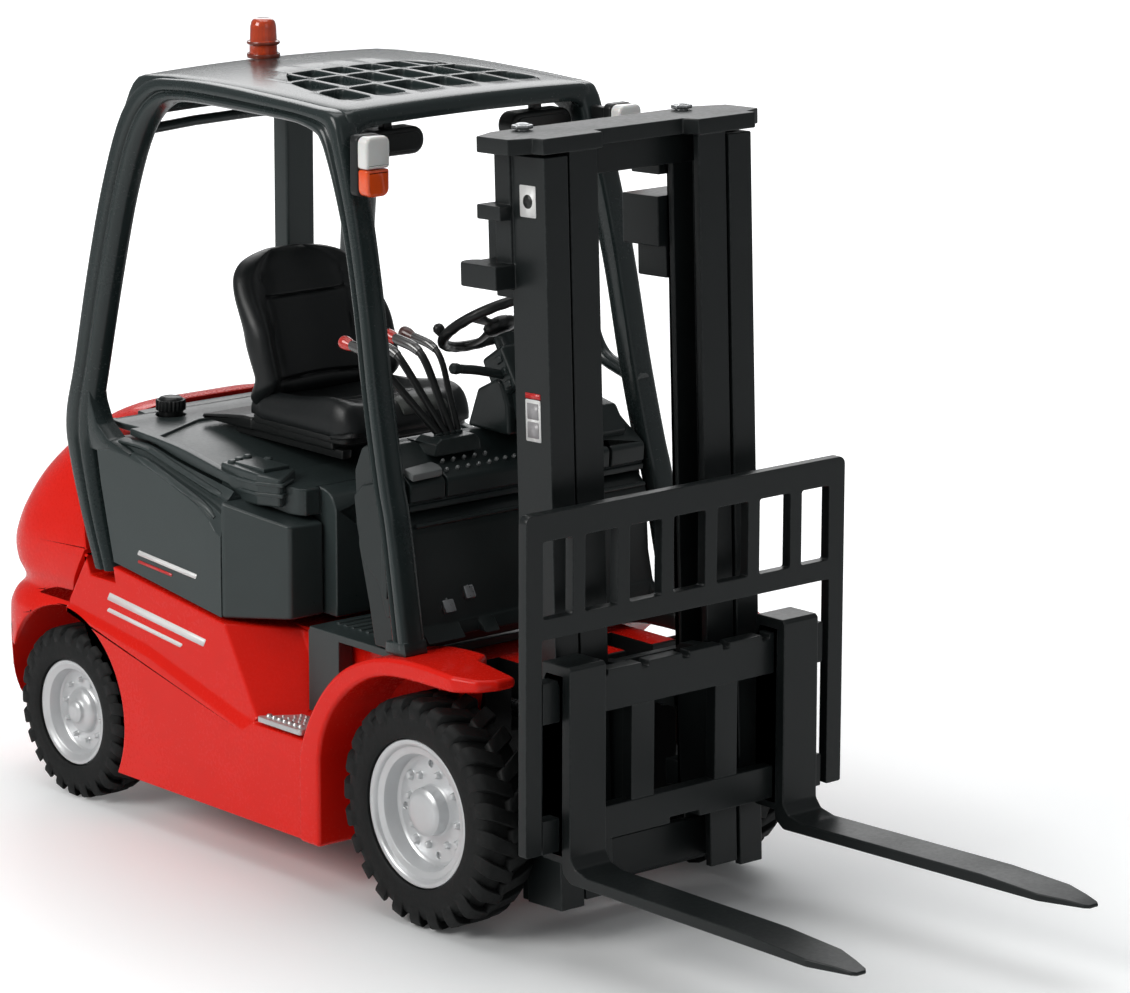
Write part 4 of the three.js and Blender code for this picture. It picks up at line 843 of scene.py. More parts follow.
def grille_cell(row, column, outline):
    y0, y1 = GRILLE_ROWS[row]
    x0 = -15.2 + column * GRILLE_PITCH + GRILLE_GAP
    x1 = x0 + GRILLE_PITCH - 2 * GRILLE_GAP
    taper = 1 - 0.012 * (y0 - 21.5)
    cell = prism([(x0 * taper, y0), (x1 * taper, y0), (x1 * taper * 0.985, y1),
                  (x0 * taper * 0.985, y1)], "z", 83, 94)
    cell = intersect(cell, prism(outline, "z", 82, 95))
    with editing(cell) as bm:
        bmesh.ops.dissolve_limit(bm, angle_limit=radians(9), verts=bm.verts, edges=bm.edges)
        upright = [e for e in bm.edges if abs(e.verts[0].co.z - e.verts[1].co.z) > 5
                   and e.calc_face_angle(0) > radians(20)]
        bmesh.ops.bevel(bm, geom=upright, offset=0.75, offset_type="OFFSET", segments=4,
                        profile=0.5, affect="EDGES", clamp_overlap=True)
    return cell


def roof():
    """Crowned panel with three rows of openings that narrow to the rear."""
    loops = []
    for i in range(37):
        s = -1 + 2 * i / 36
        crown = 0.45 * (1 - s * s)
        edge = 0.15 * max(0, (abs(s) - 0.94) / 0.06) ** 2
        loop = []
        for y, z in ROOF:
            bow = -0.55 * (1 - s * s) * (1 - ease(17, 30, y))       # front edge bows forward
            # the front lip deepens at the legs
            lip = 1.5 * ease(0.84, 1.0, abs(s)) if z < 88.2 and y < 24 else 0.0
            loop.append((ROOF_HALF * s, y + bow, z + crown - edge - lip))
        loops.append(loop)
    outline = [(x * 0.965, 31 + (y - 31) * 0.965) for x, y in rounded(GRILLE)]
    cells = [grille_cell(row, column, outline) for row in range(3) for column in range(6)]
    return bevel(cut(skin(loops), *cells), 0.16, 38, clean=0)


def guard():
    right = merge(rail(), soft_prism(GUSSET, "x", -21.35, -18.7, 0.22, steps=6))
    handle = tube(curve(HANDLE, 6), 0.92, 14)
    hoop = tube([(-17.2, 57.2, 82.2), (-9, 57.6, 82.6), (0, 57.7, 82.75), (9, 57.6, 82.6),
                 (17.2, 57.2, 82.2)], 0.62)
    foot = [(2.8, 30.2, 0.3), (6.6, 30.2, 0.3), (6.4, 31.6, 0.2), (3.2, 31.9, 0.2)]
    feet = [soft_prism(foot, "x", *sorted((s * 18.4, s * 21.6)), 0.15) for s in (-1, 1)]
    return merge(pair(right), roof(), handle, hoop, *feet)


finish("guard_frame", guard(), GUARD, "overhead_guard", smooth=34, weighted=False)


# ============================================================ side covers
# (y, z) lines along the cover, lowest first
COVER_BOTTOM = [(28.5, 29.0), (36.6, 28.2), (56.9, 30.8), (60.6, 31.2), (61.8, 31.4)]
COVER_EDGES = [
    [(36.9, 37.9), (37.6, 38.1), (38.3, 38.7), (39.7, 39.95), (41.9, 41.0), (45.6, 42.15),
     (49.3, 43.3), (53.1, 44.0), (57, 44.5), (61.8, 44.7)],
    [(36.9, 40.3), (37.6, 40.4), (39.6, 41.2), (42.6, 42.0), (46.6, 43.0), (50.0, 43.9),
     (53.0, 44.5), (57.6, 44.75), (61.8, 44.85)],
    [(36.9, 42.0), (37.6, 42.2), (40.1, 42.6), (43.7, 43.4), (47.4, 44.2), (51.2, 45.1),
     (53.4, 45.45), (57, 45.5), (61.8, 45.5)],
    [(36.9, 42.9), (38.5, 43.2), (41.1, 43.6), (44.8, 44.15), (48.5, 44.8), (52.3, 45.6),
     (54, 45.75), (58, 45.8), (61.8, 45.8)]]


def cover():
    ys = list(np.linspace(61.8, 44, 26)) + list(np.linspace(43.6, 36.9, 24))
    edges = [curve(edge) for edge in COVER_EDGES]
    loops = []
    for y in ys:
        base = at(COVER_BOTTOM, y)
        e1, e2, e3, e4 = [at(edge, y) for edge in edges]
        e2 = e1 + (e2 - e1) * (0.25 + 0.75 * ease(61, 55, y))     # strip dies out at the rear leg
        loops.append([(x, y, z) for x, z in (
            (-21.4, base), (-21.42, (base + e1) / 2), (-21.4, e1 - 0.18), (-21.32, e1),
            (-20.92, e2 - 0.06), (-20.80, e2), (-20.3, e2 + 0.04), (-20.12, e2 + 0.22),
            (-20.06, (e2 + e3) / 2), (-20.18, e3 - 0.32), (-20.36, e3 - 0.14),
            (-20.30, e3 + 0.03), (-20.12, e3 + 0.10), (-19.36, e4 - 0.02), (-19.24, e4 - 0.1),
            (-19.2, e4 - 0.7), (-12.9, e4 - 0.9), (-12.9, base))])
    front = prism(rounded([(-21.4, 36.95), (-21.2, 36.3, 0.4), (-17.5, 28.8, 0.8), (-12.9, 28.5),
                           (-12.9, 36.95)], 4), "z", 28.2, 42.1)
    front = intersect(front, prism([(28.0, 28.9), (36.6, 28.2), (37.2, 28.2), (37.2, 42.1),
                                    (36.4, 41.8), (32.0, 40.6), (28.0, 39.6)], "x", -22, -12))
    bevel(front, 0.35, 30, 3)
    obj = cut(skin(loops), leg_recess(-1))

    def bead(swell, place):
        """Bead along the cover, tapered at both ends."""
        stations = [y for y in ys if 38.2 <= y <= 54.5][::3]
        radii = [0.12 + swell * (1 - ease(51.5, 54.5, y)) * ease(38.0, 38.8, y)
                 for y in stations]
        return tube([place(y, ease(51, 54.5, y)) for y in stations], radii)

    upper = bead(0.30, lambda y, end: (
        -20.02 + 0.25 * end, y, at(edges[2], y) - 0.02 - 0.35 * end))
    lower = bead(0.34, lambda y, end: (
        -21.08 + 0.3 * end, y, (at(edges[0], y) + at(edges[1], y)) / 2 + 0.05))
    return merge(obj, front, upper, lower)


cover_right = cover()
cover_left = mirrored(cover_right)
finish("cover_right", cover_right, GREY, "side_cover_right", smooth=30)
finish("cover_left", cover_left, GREY, "side_cover_left", smooth=30)


# ============================================================ hood, fuel cap, intake
CAP_X, CAP_Y, _ = centre("fuel_cap")
# (y, z) line of the hood top, rear to front
HOOD_TOP = curve([(65.0, 47.0), (61.8, 46.75), (58.5, 46.8), (55.5, 46.75), (51, 46.5),
                  (47, 46.1), (42.5, 45.3), (38, 44.55), (33.0, 44.1), (29.6, 43.8),
                  (27.6, 43.1), (26.7, 42.0)], 3)
HOOD_DECK = [(26.5, 41.2), (26.5, 28.8), (61.8, 28.8), (61.8, 45.6), (65.0, 45.6)]
WING_BOTTOM = [(29.2, 40.6), (31, 40.7), (36.9, 42.3), (38.5, 43.35), (41.1, 43.75), (44.8, 44.3),
               (48.5, 44.95), (52.3, 45.75), (54, 45.9), (61.8, 45.95), (65.0, 45.95)]
WING_PLAN = [(-16.6, 65.2, 3.5), (-18.6, 61.8, 2), (-19.1, 55, 4), (-19.2, 48, 6),
             (-19.0, 38.2, 1.2), (-17.4, 34.2, 2), (-15.4, 29.6, 2.2), (-12.5, 27.8, 1)]
PANEL_ZONE = [(-18.1, 52.8), (-9.4, 56.9), (9.4, 56.9), (18.1, 52.8), (18.1, 36.5),
              (15.6, 31.5), (-15.6, 31.5), (-18.1, 36.5)]       # (x, y) of the lowered deck
CATCH = [(-18.5, 40.8, 0.5), (-18.35, 33.8, 0.6), (-17.0, 30.9, 0.5), (-13.1, 33.4, 0.5),
         (-12.9, 40.6, 0.4)]
CATCH_RIB = [(-18.7, 38.6, 0.2), (-18.62, 33.9, 0.5), (-17.1, 30.55, 0.3), (-14.2, 32.2, 0.2),
             (-14.2, 33.2), (-17, 33.4), (-17.6, 38.6)]


def hood():
    deck = prism(HOOD_DECK + HOOD_TOP, "x", -12.6, 12.6)
    wing_outline = WING_BOTTOM + [p for p in HOOD_TOP if p[0] > 29.2] + [(29.2, 43.7)]
    plan = rounded(WING_PLAN)
    plan = plan + [(-x, y) for x, y in reversed(plan)]
    wings = intersect(prism(wing_outline, "x", -19.3, 19.3), prism(plan, "z", 20, 60))
    obj = join(deck, wings)
    lowered = prism([(26.0, 41.4)] + [(y, z - 0.38) for y, z in reversed(HOOD_TOP)]
                    + [(65.0, 52), (26.0, 52)], "x", -17.9, 17.9)
    obj = cut(obj, intersect(lowered, prism(PANEL_ZONE, "z", 40, 60)))
    for s in (-1, 1):
        obj = cut(obj, prism([(57.9, 40), (70, 40), (70, 52), (57.9, 52)], "x",
                             *sorted((s * 17.6, s * 23))))
    obj = cut(obj, box(-11, 11, 28.5, 60, 27, 41.5),
              cylinder("z", CAP_X, CAP_Y, 1.75, 45.9, 50, 32))
    bevel(obj, 0.26, 24, 3)
    # small pressed triangle on the front face
    return cut(obj, prism([(-12.1, 41.3), (-8.9, 42.0), (-9.6, 39.4)], "y", 26.0, 26.95))


def hood_catch():
    """Block at the hood's front right corner with a slab, two ribs and four round bumps."""
    block = intersect(prism(rounded(CATCH, 3), "z", 41.6, 45.6),
                      prism([(30, 41), (30, 44.6), (33, 45.25), (41, 45.6), (41, 41)],
                            "x", -19, -12))
    bevel(block, 0.28, 30, 3)
    ribs = [soft_prism(CATCH_RIB, "z", z - 0.22, z + 0.22, 0.12) for z in (43.0, 44.25)]
    bumps = [lathe([(0, top), (0.36, top - 0.03), (0.52, top - 0.2), (0.58, top - 0.9),
                    (0, top - 0.9)], "z", x, y, 18)
             for x, y, top in ((-17.4, 39.8, 45.9), (-16.1, 40.2, 45.95), (-14.6, 40.5, 46.0),
                               (-13.5, 38.0, 46.0))]
    slab = soft_box(-17.4, -13.6, 33.8, 39.4, 45.2, 45.75, 0.16)
    return merge(block, slab, *ribs, *bumps)


def fuel_cap():
    radius, knurls = 1.82, 22
    outline = []
    for i in range(knurls * 4):
        turn = 2 * pi * i / (knurls * 4)
        r = radius * (1.0 if i % 4 in (0, 1) else 0.93)
        outline.append((CAP_X + r * cos(turn), CAP_Y + r * sin(turn)))
    grip = bevel(prism(outline, "z", 47.35, 48.6), 0.06, 40, 1, clean=0)
    core = lathe([(0, 49.0), (0.9, 48.98), (1.3, 48.86), (1.52, 48.6), (1.5, 47.2), (1.42, 46.3),
                  (0, 46.3)], "z", CAP_X, CAP_Y, 32)
    bar = soft_box(CAP_X - 1.2, CAP_X + 1.2, CAP_Y - 0.22, CAP_Y + 0.22, 48.8, 49.0, 0.08, 1)
    return merge(grip, core, bar)


finish("hood_moulding", hood(), GREY, "hood", smooth=28)
finish("hood_catch", hood_catch(), GREY, smooth=34)
finish("fuel_filler_cap", fuel_cap(), BLACK, "fuel_cap", smooth=36, weighted=False)
intake = join(box(4.3, 8.5, 57.0, 59.7, 47.2, 83.2), box(3.9, 8.9, 56.7, 60.0, 47.2, 49.4))
finish("intake_duct", bevel(intake, 0.35, 30, 3), GREY, "air_intake", smooth=34)


# ============================================================ floor, cowl, dash
LEVER_X = [-10.3 + 0.95 * i for i in range(4)]      # where the levers leave the dash
LEVER_Y = 10.8
COWL = [(3.8, 30.9), (8.4, 30.9), (8.4, 28.9), (13.6, 28.9), (14.6, 33.5), (16.4, 40),
        (16.4, 45.0), (8.2, 45.0), (7.4, 44.2), (7.05, 43.7), (6.75, 43.2), (6.65, 42.6),
        (6.2, 36.0), (5.4, 32.6)]                   # (y, z)
FLAP = [(16.35, 45.9, 0.4), (14.8, 47.35, 0.6), (11.2, 48.3, 0.5), (9.0, 47.6), (8.2, 42),
        (8.0, 33.2), (10.7, 32.8, 0.3), (11.3, 34.4, 0.4), (11.8, 36.2, 0.6), (14.9, 38.7, 0.8),
        (15.9, 42.6, 1.0)]
FLAP_RIDGE = [(11.6, 47.6, 0.2), (10.6, 47.9, 0.2), (9.9, 44.0), (10.1, 35.0, 0.2),
              (11.0, 35.2, 0.2), (11.1, 44.0)]
DASH = [(7.2, 45.3, 0.2), (16.8, 45.3, 0.6), (17.0, 48.6, 1.0), (15.6, 51.6, 1.2),
        (12.6, 52.0, 1.0), (10.2, 50.4, 0.8), (8.2, 49.2, 0.6), (7.05, 48.4, 0.7)]   # (y, z)
DASH_HUMP = [(-12.3, 50.6), (-12.1, 52.0, 0.3), (-11.2, 52.55, 0.4), (-6.4, 52.55, 0.4),
             (-5.7, 51.9, 0.3), (-5.5, 50.6)]       # (x, z)
DASH_BLOCK = [(8.4, 50.2, 0.4), (10.2, 52.8, 0.8), (14.6, 53.6, 0.8), (15.6, 51.0), (8.8, 49.0)]
GAITER = [(0, 52.9), (0.46, 52.9), (0.56, 52.75), (0.5, 52.62), (0.64, 52.5), (0.56, 52.38),
          (0.7, 52.26), (0.7, 51.9), (0, 51.9)]


def floor_mat():
    mat = join(box(-16.9, 16.9, 8.6, 26.2, 27.7, 28.6), box(-16.9, -14.8, 20.8, 26.4, 18.6, 28.2),
               box(14.8, 16.9, 20.8, 26.4, 18.6, 28.2))
    for i in range(10):
        mat = join(mat, box(-14.0, 14.0, 12.2 + i * 1.35, 12.75 + i * 1.35, 28.4, 28.85))
    return bevel(mat, 0.12, 30)


def cowl():
    obj = cut(prism(COWL, "x", -17.4, 17.4), box(-16.2, 16.2, 9.6, 15.2, 27, 43.4),
              prism([(3, 30), (3.0, 41.2), (4.9, 41.2), (6.0, 38.5), (5.9, 36.2), (4.9, 30)],
                    "x", -12.0, -9.2),
              prism([(3, 30), (3.0, 37.6), (5.6, 37.6), (5.4, 33), (4.5, 30)], "x", -7.0, 16.6))
    bevel(obj, 0.22, 28)
    rib = tube([(-17.0, 6.72, 43.75), (-10, 6.72, 43.78), (0, 6.75, 43.8), (10, 6.72, 43.78),
                (17.0, 6.72, 43.75)], 0.26)
    # side flap with a pointed lower end
    flap = merge(soft_prism(FLAP, "x", -18.1, -17.2, 0.22, 3, steps=4),
                 soft_prism(FLAP_RIDGE, "x", -18.45, -18.0, 0.14))
    return merge(obj, rib, pair(flap))


def dash():
    obj = cut(prism(rounded(DASH, 4), "x", -17.4, 17.4),
              prism([(6.0, 46.05), (7.45, 46.05), (7.45, 46.35), (6.0, 46.35)], "x", -18, 18),
              box(-12.35, -12.05, 5, 8.1, 46.3, 50), box(12.05, 12.35, 5, 8.1, 46.3, 50),
              box(-12.6, -5.4, 9.0, 13.4, 51.9, 53.0))
    bevel(obj, 0.2, 28)
    hump = soft_prism(DASH_HUMP, "y", 9.0, 12.9, 0.25)
    gaiters = [lathe(GAITER, "z", x, LEVER_Y, 20) for x in LEVER_X]
    block = soft_prism(DASH_BLOCK, "x", 2.6, 15.8, 0.3)
    bars = [soft_box(4.2 + k * 2.1, 5.5 + k * 2.1, 7.6, 8.6, 47.3, 48.2, 0.12, 1)
            for k in range(5)]
    return merge(obj, hump, block, *gaiters, *bars)


def dash_buttons():
    def button(profile, place):
        return placed(lathe(profile, "z", 0, 0, 16),
                      Matrix.Translation(place) @ Matrix.Rotation(radians(35), 4, "X"))

    tall = [(0, 0.24), (0.12, 0.22), (0.2, 0.14), (0.23, 0.0), (0.23, -0.4), (0, -0.4)]
    flat = [(0, 0.22), (0.14, 0.2), (0.22, 0.08), (0.24, -0.4), (0, -0.4)]
    buttons = [button(tall, (-11.4 + 1.55 * k + 0.3 * row, y, z))
               for row, (y, z) in enumerate(((8.0, 49.35), (9.1, 50.1))) for k in range(5)]
    return merge(*buttons, *[button(flat, (-4.0 + k * 1.3, 8.2, 49.45)) for k in range(3)])


def dash_pad():
    """Arched pad on the right end of the dash."""
    pad = prism(rounded([(-17.2, 6.9), (-17.2, 8.6, 0.5), (-12.6, 9.3, 0.5), (-12.2, 8.4, 0.4),
                         (-12.6, 7.3, 0.4)], 3), "z", 48.9, 49.75)
    with editing(pad) as bm:
        for v in bm.verts:
            v.co.z += 0.55 * cos((v.co.x + 15.2) / 3.2) - 0.25 + (v.co.y - 8) * 0.25
    return bevel(pad, 0.2, 30)


def pedals():
    parts = []
    for x, y, z, half in ((-13.2, 5.6, 34.3, 0.8), (-10.0, 5.9, 35.4, 0.7)):
        parts.append(placed(soft_box(-half, half, -0.25, 0.25, -0.75, 0.75, 0.16),
                            Matrix.Translation((x, y, z)) @ Matrix.Rotation(radians(-28), 4, "X")))
        parts.append(tube([(x, y, z), (x, y + 1.2, z + 1.6), (x, y + 1.5, z + 3.4)], 0.22, 8))
    return merge(*parts)


finish("floor_mat", floor_mat(), GREY, "floor_plate", smooth=34)
finish("cowl_moulding", cowl(), DARK_GREY, "front_cowl", smooth=32)
finish("dash_moulding", dash(), DARK_GREY, "dash_panel", smooth=32)
finish("dash_buttons", dash_buttons(), BUTTON, weighted=False)
finish("dash_grip_pad", dash_pad(), PALE_PAD)
finish("pedal_pads", pedals(), STEEL)


# ============================================================ steering column, wheel, levers
TILT = radians(33)
WHEEL_PLACE = Matrix.Translation((0, 12.6, 64.0)) @ toward((0, sin(TILT), cos(TILT)))
WHEEL_RADIUS = 6.7
# radius, height along the steering axis from the wheel
COLUMN = [(0, -1.7), (1.15, -1.72), (1.3, -1.9), (1.34, -4.6), (1.75, -5.0), (1.8, -7.6),
          (1.6, -8.0), (1.95, -9.4), (2.25, -12.2), (2.3, -14.3), (0, -14.3)]
WHEEL_HUB = [(0, 0.42), (0.9, 0.4), (1.25, 0.28), (1.4, 0.1), (1.75, 0.0), (1.95, -0.25),
             (1.95, -0.7), (1.6, -1.15), (0.9, -1.35), (0, -1.35)]
SPINNER = [(0, 2.0), (0.35, 1.95), (0.6, 1.7), (0.68, 1.3), (0.5, 0.9), (0.34, 0.6), (0.4, 0.3),
           (0, 0.3)]
STALK_END = (-8.2, 9.3, 60.1)
STALK_KNOB = [(0, 1.55), (0.4, 1.5), (0.62, 1.25), (0.66, 0.7), (0.5, 0.1), (0.36, -0.4),
              (0, -0.4)]
LEVER_KNOB = [(0, 0.95), (0.38, 0.88), (0.64, 0.68), (0.78, 0.38), (0.80, 0.0), (0.74, -0.45),
              (0.62, -0.85), (0.56, -1.25), (0, -1.25)]
SHEATH_RADII = (0.52, 0.57, 0.60, 0.62, 0.63, 0.63, 0.63, 0.62, 0.58)


def column():
    block = soft_box(-2.6, 2.6, -1.9, 2.3, -8.6, -3.4, 0.5, 3)
    keys = [soft_box(x0, x1, -1.3, -0.2, -5.2 - 1.5 * k, -4.3 - 1.5 * k, 0.12, 1)
            for x0, x1 in ((2.35, 2.8), (-2.8, -2.35)) for k in range(3)]
    obj = placed(merge(lathe(COLUMN, "z", 0, 0, 40), block, *keys), WHEEL_PLACE)
    obj = cut(obj, box(-6, 6, -5, 30, 30, 51.6))
    shroud = soft_prism([(7.4, 52.0), (7.6, 55.4, 1.0), (9.0, 58.6, 1.0), (13.0, 56.6, 1.0),
                         (14.8, 52.0)], "x", -2.9, 2.9, 0.45, 3, steps=4)
    path = curve([(-0.6, 8.9, 58.2), (-3.0, 9.0, 58.9), (-6.0, 9.15, 59.7), STALK_END])
    stalk = tube(path, [0.52] * 8 + [0.54] * (len(path) - 8))
    knob = placed(lathe(STALK_KNOB, "z", 0, 0, 20),
                  Matrix.Translation(STALK_END) @ toward((-1, 0.06, 0.18)))
    return merge(obj, shroud, stalk, knob)


def spoke(turn):
    obj = box(1.0, 6.4, -0.75, 0.75, -0.42, -0.02)
    with editing(obj) as bm:
        long_edges = [e for e in bm.edges if abs(e.verts[0].co.x - e.verts[1].co.x) > 2]
        bmesh.ops.subdivide_edges(bm, edges=long_edges, cuts=7)
        for v in bm.verts:
            t = (v.co.x - 1) / 5.4
            v.co.y *= 1.25 - 0.75 * sin(pi * min(1, t * 1.05)) * 0.7     # waisted
            v.co.z += 0.10 - 0.75 * sin(pi * t) * 0.45                   # sagging
    bevel(obj, 0.12, 40, clean=0)
    return placed(obj, Matrix.Rotation(radians(turn), 4, "Z"))


def steering_wheel():
    around, section = 120, 16
    verts, faces = [], []
    for i in range(around):
        a = 2 * pi * i / around
        for k in range(section):
            b = 2 * pi * k / section
            # finger grips everywhere but on top
            grip = 0.64 * (1 + 0.04 * cos(a * 24) * (1 if sin(b) < 0.2 else 0))
            reach = WHEEL_RADIUS + grip * cos(b)
            verts.append((reach * cos(a), reach * sin(a), 0.95 * grip * sin(b)))
            here, there = i * section, (i + 1) % around * section
            after = (k + 1) % section
            faces.append((here + k, here + after, there + after, there + k))
    ring = solid(verts, faces)
    hub = lathe(WHEEL_HUB, "z", 0, 0, 40)
    knob = lathe(SPINNER, "z", WHEEL_RADIUS * cos(radians(150)),
                 WHEEL_RADIUS * sin(radians(150)), 20)
    return placed(merge(ring, hub, *[spoke(turn) for turn in (90, 210, 330)], knob), WHEEL_PLACE)


def lever(i):
    """Rod, sheath and knob; the last lever is thinner and dark."""
    node = "lever_%d" % (i + 1)
    last = i == 3
    base, top = LEVER_X[i], -16.6 + 3.15 * i - (0.8 if last else 0)
    path = curve([(base, LEVER_Y, 52.75), (base + (top - base) * 0.45, 11.9, 56.4),
                  (base + (top - base) * 0.93, 13.1, 60.4), (top, 14.9, 61.9),
                  (top - 0.3, 18.2, 62.6)], 6)
    flare = len(path) - 9               # the sheath starts here, the rod ends inside it
    thin = 0.36 if last else 0.46
    radii = [thin + 0.04 * max(0, k - flare) / 8 for k in range(len(path) - 5)]
    finish(node + "_rod", tube(path[:-5], radii), BLACK, node,
           body=BODY[node], smooth=50, weighted=False)
    sheath = tube(path[flare:], [r - (0.10 if last else 0.0) for r in SHEATH_RADII], 14)
    finish(node + "_sheath", sheath, SHEATH, body=BODY[node], smooth=50,
           weighted=False)
    knob = placed(lathe(LEVER_KNOB, "z", 0, 0, 28),
                  Matrix.Translation((top - 0.35, 18.9, 62.7)) @ toward((-0.1, 1, 0.22)))
    finish(node + "_knob", knob, KNOB_DARK if last else KNOB_RED,
           body=BODY[node], smooth=50,
           weighted=False)


finish("column_shroud", column(), DARK_GREY, "steering_column", smooth=36)
finish("steering_wheel_rim", steering_wheel(), BLACK, "steering_wheel",
       body=BODY["steering_wheel"], smooth=40, weighted=False)
for lever_number in range(4):
    lever(lever_number)


# ============================================================ seat
EDGE_RADIUS = 1.5
# backrest: z, half width / z, middle y
BACK_WIDTH = curve([(50.2, 9.3), (51.2, 10.0), (52.4, 10.35), (54, 10.35), (57, 10.45),
                    (59.5, 10.35), (61.2, 10.15), (62.8, 9.85), (64.4, 9.3), (65.4, 8.6),
                    (66.2, 7.5), (66.8, 6.0), (67.15, 4.6), (67.4, 3.0)], 8)
BACK_MIDDLE = curve([(50.2, 45.3), (52.0, 44.8), (53.2, 44.8), (55, 45.3), (58, 46.2),
                     (61, 47.2), (63.4, 48.3), (65, 49.2), (66.6, 50.2), (67.6, 50.9)], 8)
# cushion: y, top z
CUSHION_TOP = curve([(27.9, 50.9), (28.5, 51.7), (29.5, 52.35), (31, 52.6), (33.5, 52.25),
                     (37, 51.7), (41, 51.35), (44.5, 51.3), (47.4, 51.6)], 8)
CUSHION_BOTTOM = 48.75
FRONT_PAD_TOP = [(27.9, 50.9), (28.5, 51.55), (29.5, 52.25), (31, 52.55)]


def across_steps(count):
    """Positions from -1 to 1, closer together toward the ends."""
    return [sin(-pi / 2 + pi * i / count) for i in range(count + 1)]


def edge_round(x, half):
    """1 over the middle, falling in a quarter circle to 0 at the side."""
    t = clamp((abs(x) - (half - EDGE_RADIUS)) / EDGE_RADIUS)
    return sqrt(max(0, 1 - t * t))


def backrest():
    loops = []
    for z in np.concatenate([np.arange(50.4, 67.30, 0.15), [67.30]]):
        half, middle = at(BACK_WIDTH, z), at(BACK_MIDDLE, z)
        top, bottom = clamp((z - 65.85) / 1.5), clamp((51.6 - z) / 1.6)
        closing = sqrt(max(0.0, 1 - top * top)) * sqrt(max(0.02, 1 - 0.9 * bottom * bottom))
        thick = 2.7 + 0.7 * ease(52, 58, z) * (1 - ease(60.5, 66.5, z))
        bolster = 2.9 * (1 - 0.66 * ease(58.5, 64.8, z)) * (0.35 + 0.65 * ease(50.6, 54.0, z))
        front, back = [], []
        for s in across_steps(64):
            x, share = half * s, abs(s)
            off = abs(x)
            y_front = middle - bolster * ease(0.56, 0.90, share) + 0.35 * (1 - ease(0, 0.6, share))
            y_back = middle + thick - bolster * 0.75 * ease(0.5, 1.0, share)
            q = edge_round(x, half) * closing
            mid, depth = (y_front + y_back) / 2, (y_back - y_front) / 2
            # two grooves across the padded face, then one up each side
            groove = 0.42 * bump(z, 62.2 + 0.0048 * x * x, 0.20) * (1 - ease(5.4, 6.4, off))
            groove += 0.45 * bump(z, 53.05 - 0.006 * x * x, 0.22) * (1 - ease(6.2, 7.4, off))
            groove += (0.24 * bump(off, 5.75 + 0.03 * (z - 58), 0.22) * ease(53.6, 55.0, z)
                       * (1 - ease(64.8, 65.7, z)))
            # upper and lower rolls
            groove -= 0.30 * bump(z, 64.1, 1.0) * (1 - ease(4.2, 6.0, off))
            groove -= 0.22 * bump(z, 51.9, 0.7) * (1 - ease(4.6, 7.0, off))
            front.append((x, mid - depth * q + groove * (0.2 + 0.8 * q), z))
            back.append((x, mid + depth * q, z))
        loops.append(front + back[-2:0:-1])
    return skin(loops)


def cushion():
    loops = []
    mid = CUSHION_BOTTOM + 0.9
    for y in np.arange(27.95, 47.2, 0.15):
        half = (9.85 - 2.6 * (1 - sqrt(max(0, 1 - max(0, (31.2 - y) / 3.5) ** 2)))
                - 0.9 * ease(44, 47.2, y))
        crest = at(CUSHION_TOP, y)
        front, rear = clamp((29.6 - y) / 1.7), clamp((y - 46.2) / 1.1)
        closing = sqrt(max(0.0, 1 - front * front * 0.985)) * sqrt(max(0.0, 1 - rear * rear * 0.9))
        top, bottom = [], []
        for s in across_steps(60):
            x, share = half * s, abs(s)
            off = abs(x)
            bolster = ease(0.60, 0.84, share) * (0.35 + 0.65 * ease(29.5, 33.5, y))
            z_top = crest + 0.85 * bolster - 0.3 * (1 - ease(0, 0.55, share))
            q = edge_round(x, half)
            # two grooves across, then one along each side
            inside = 1 - ease(5.4, 6.2, off)
            groove = 0.34 * bump(y, 33.6 + 0.01 * x * x, 0.22) * inside
            groove += 0.26 * bump(y, 38.6, 0.22) * inside
            groove += 0.26 * bump(off, 6.0, 0.22) * ease(29.8, 31.0, y)
            top.append((x, y, mid + (z_top - mid) * q * closing - groove * q))
            bottom.append((x, y, mid - (mid - CUSHION_BOTTOM) * (0.55 + 0.45 * q * closing)))
        loops.append(top + bottom[-2:0:-1])
    return skin(loops)


def front_pad():
    """Low pad on the front roll of the cushion."""
    xs = np.linspace(-1.1, 5.5, 15)
    loops = []
    for i in range(13):
        y = 28.25 + 2.6 * i / 12
        z = at(FRONT_PAD_TOP, y)
        along = sqrt(max(0.0, 1 - (abs(i - 6) / 6) ** 6))
        top = [(x, y, z + 0.16 * sqrt(max(0, 1 - (abs(x - 2.2) / 3.3) ** 6)) * along - 0.05)
               for x in xs]
        loops.append(top + [(x, y, z - 0.5) for x in np.linspace(5.5, -1.1, 15)])
    return skin(loops)


def seat_pan():
    pan = join(box(-9.2, 9.2, 31.5, 49.0, 47.1, 48.4), box(-7.2, 7.2, 33.0, 46.0, 48.2, 49.2))
    bevel(pan, 0.35, 30, 3)
    rails = [soft_box(x - 0.7, x + 0.7, 30.2, 50.5, 46.2, 47.3, 0.2) for x in (-8.0, 8.0)]
    folds = []
    for k in range(4):
        inset, rise = 0.15 * (k % 2), 0.26 * k
        folds.append(soft_box(-8.3 + inset, 8.3 - inset, 32.6 + inset, 47.4 - inset,
                              48.35 + rise, 48.62 + rise, 0.08, 1))
    wedge = soft_prism([(46.6, 47.0), (56.3, 46.95, 0.3), (56.6, 47.5, 0.3), (52.0, 48.2, 0.8),
                        (48.6, 48.6, 0.4), (46.6, 48.6)], "x", -9.3, 9.3, 0.4, 3, steps=4)
    side_bar = tube(curve([(-9.6, 31.0, 48.9), (-9.9, 28.8, 49.2), (-9.5, 27.4, 49.6)], 4), 0.3, 10)
    return merge(pan, wedge, side_bar, *rails, *folds)


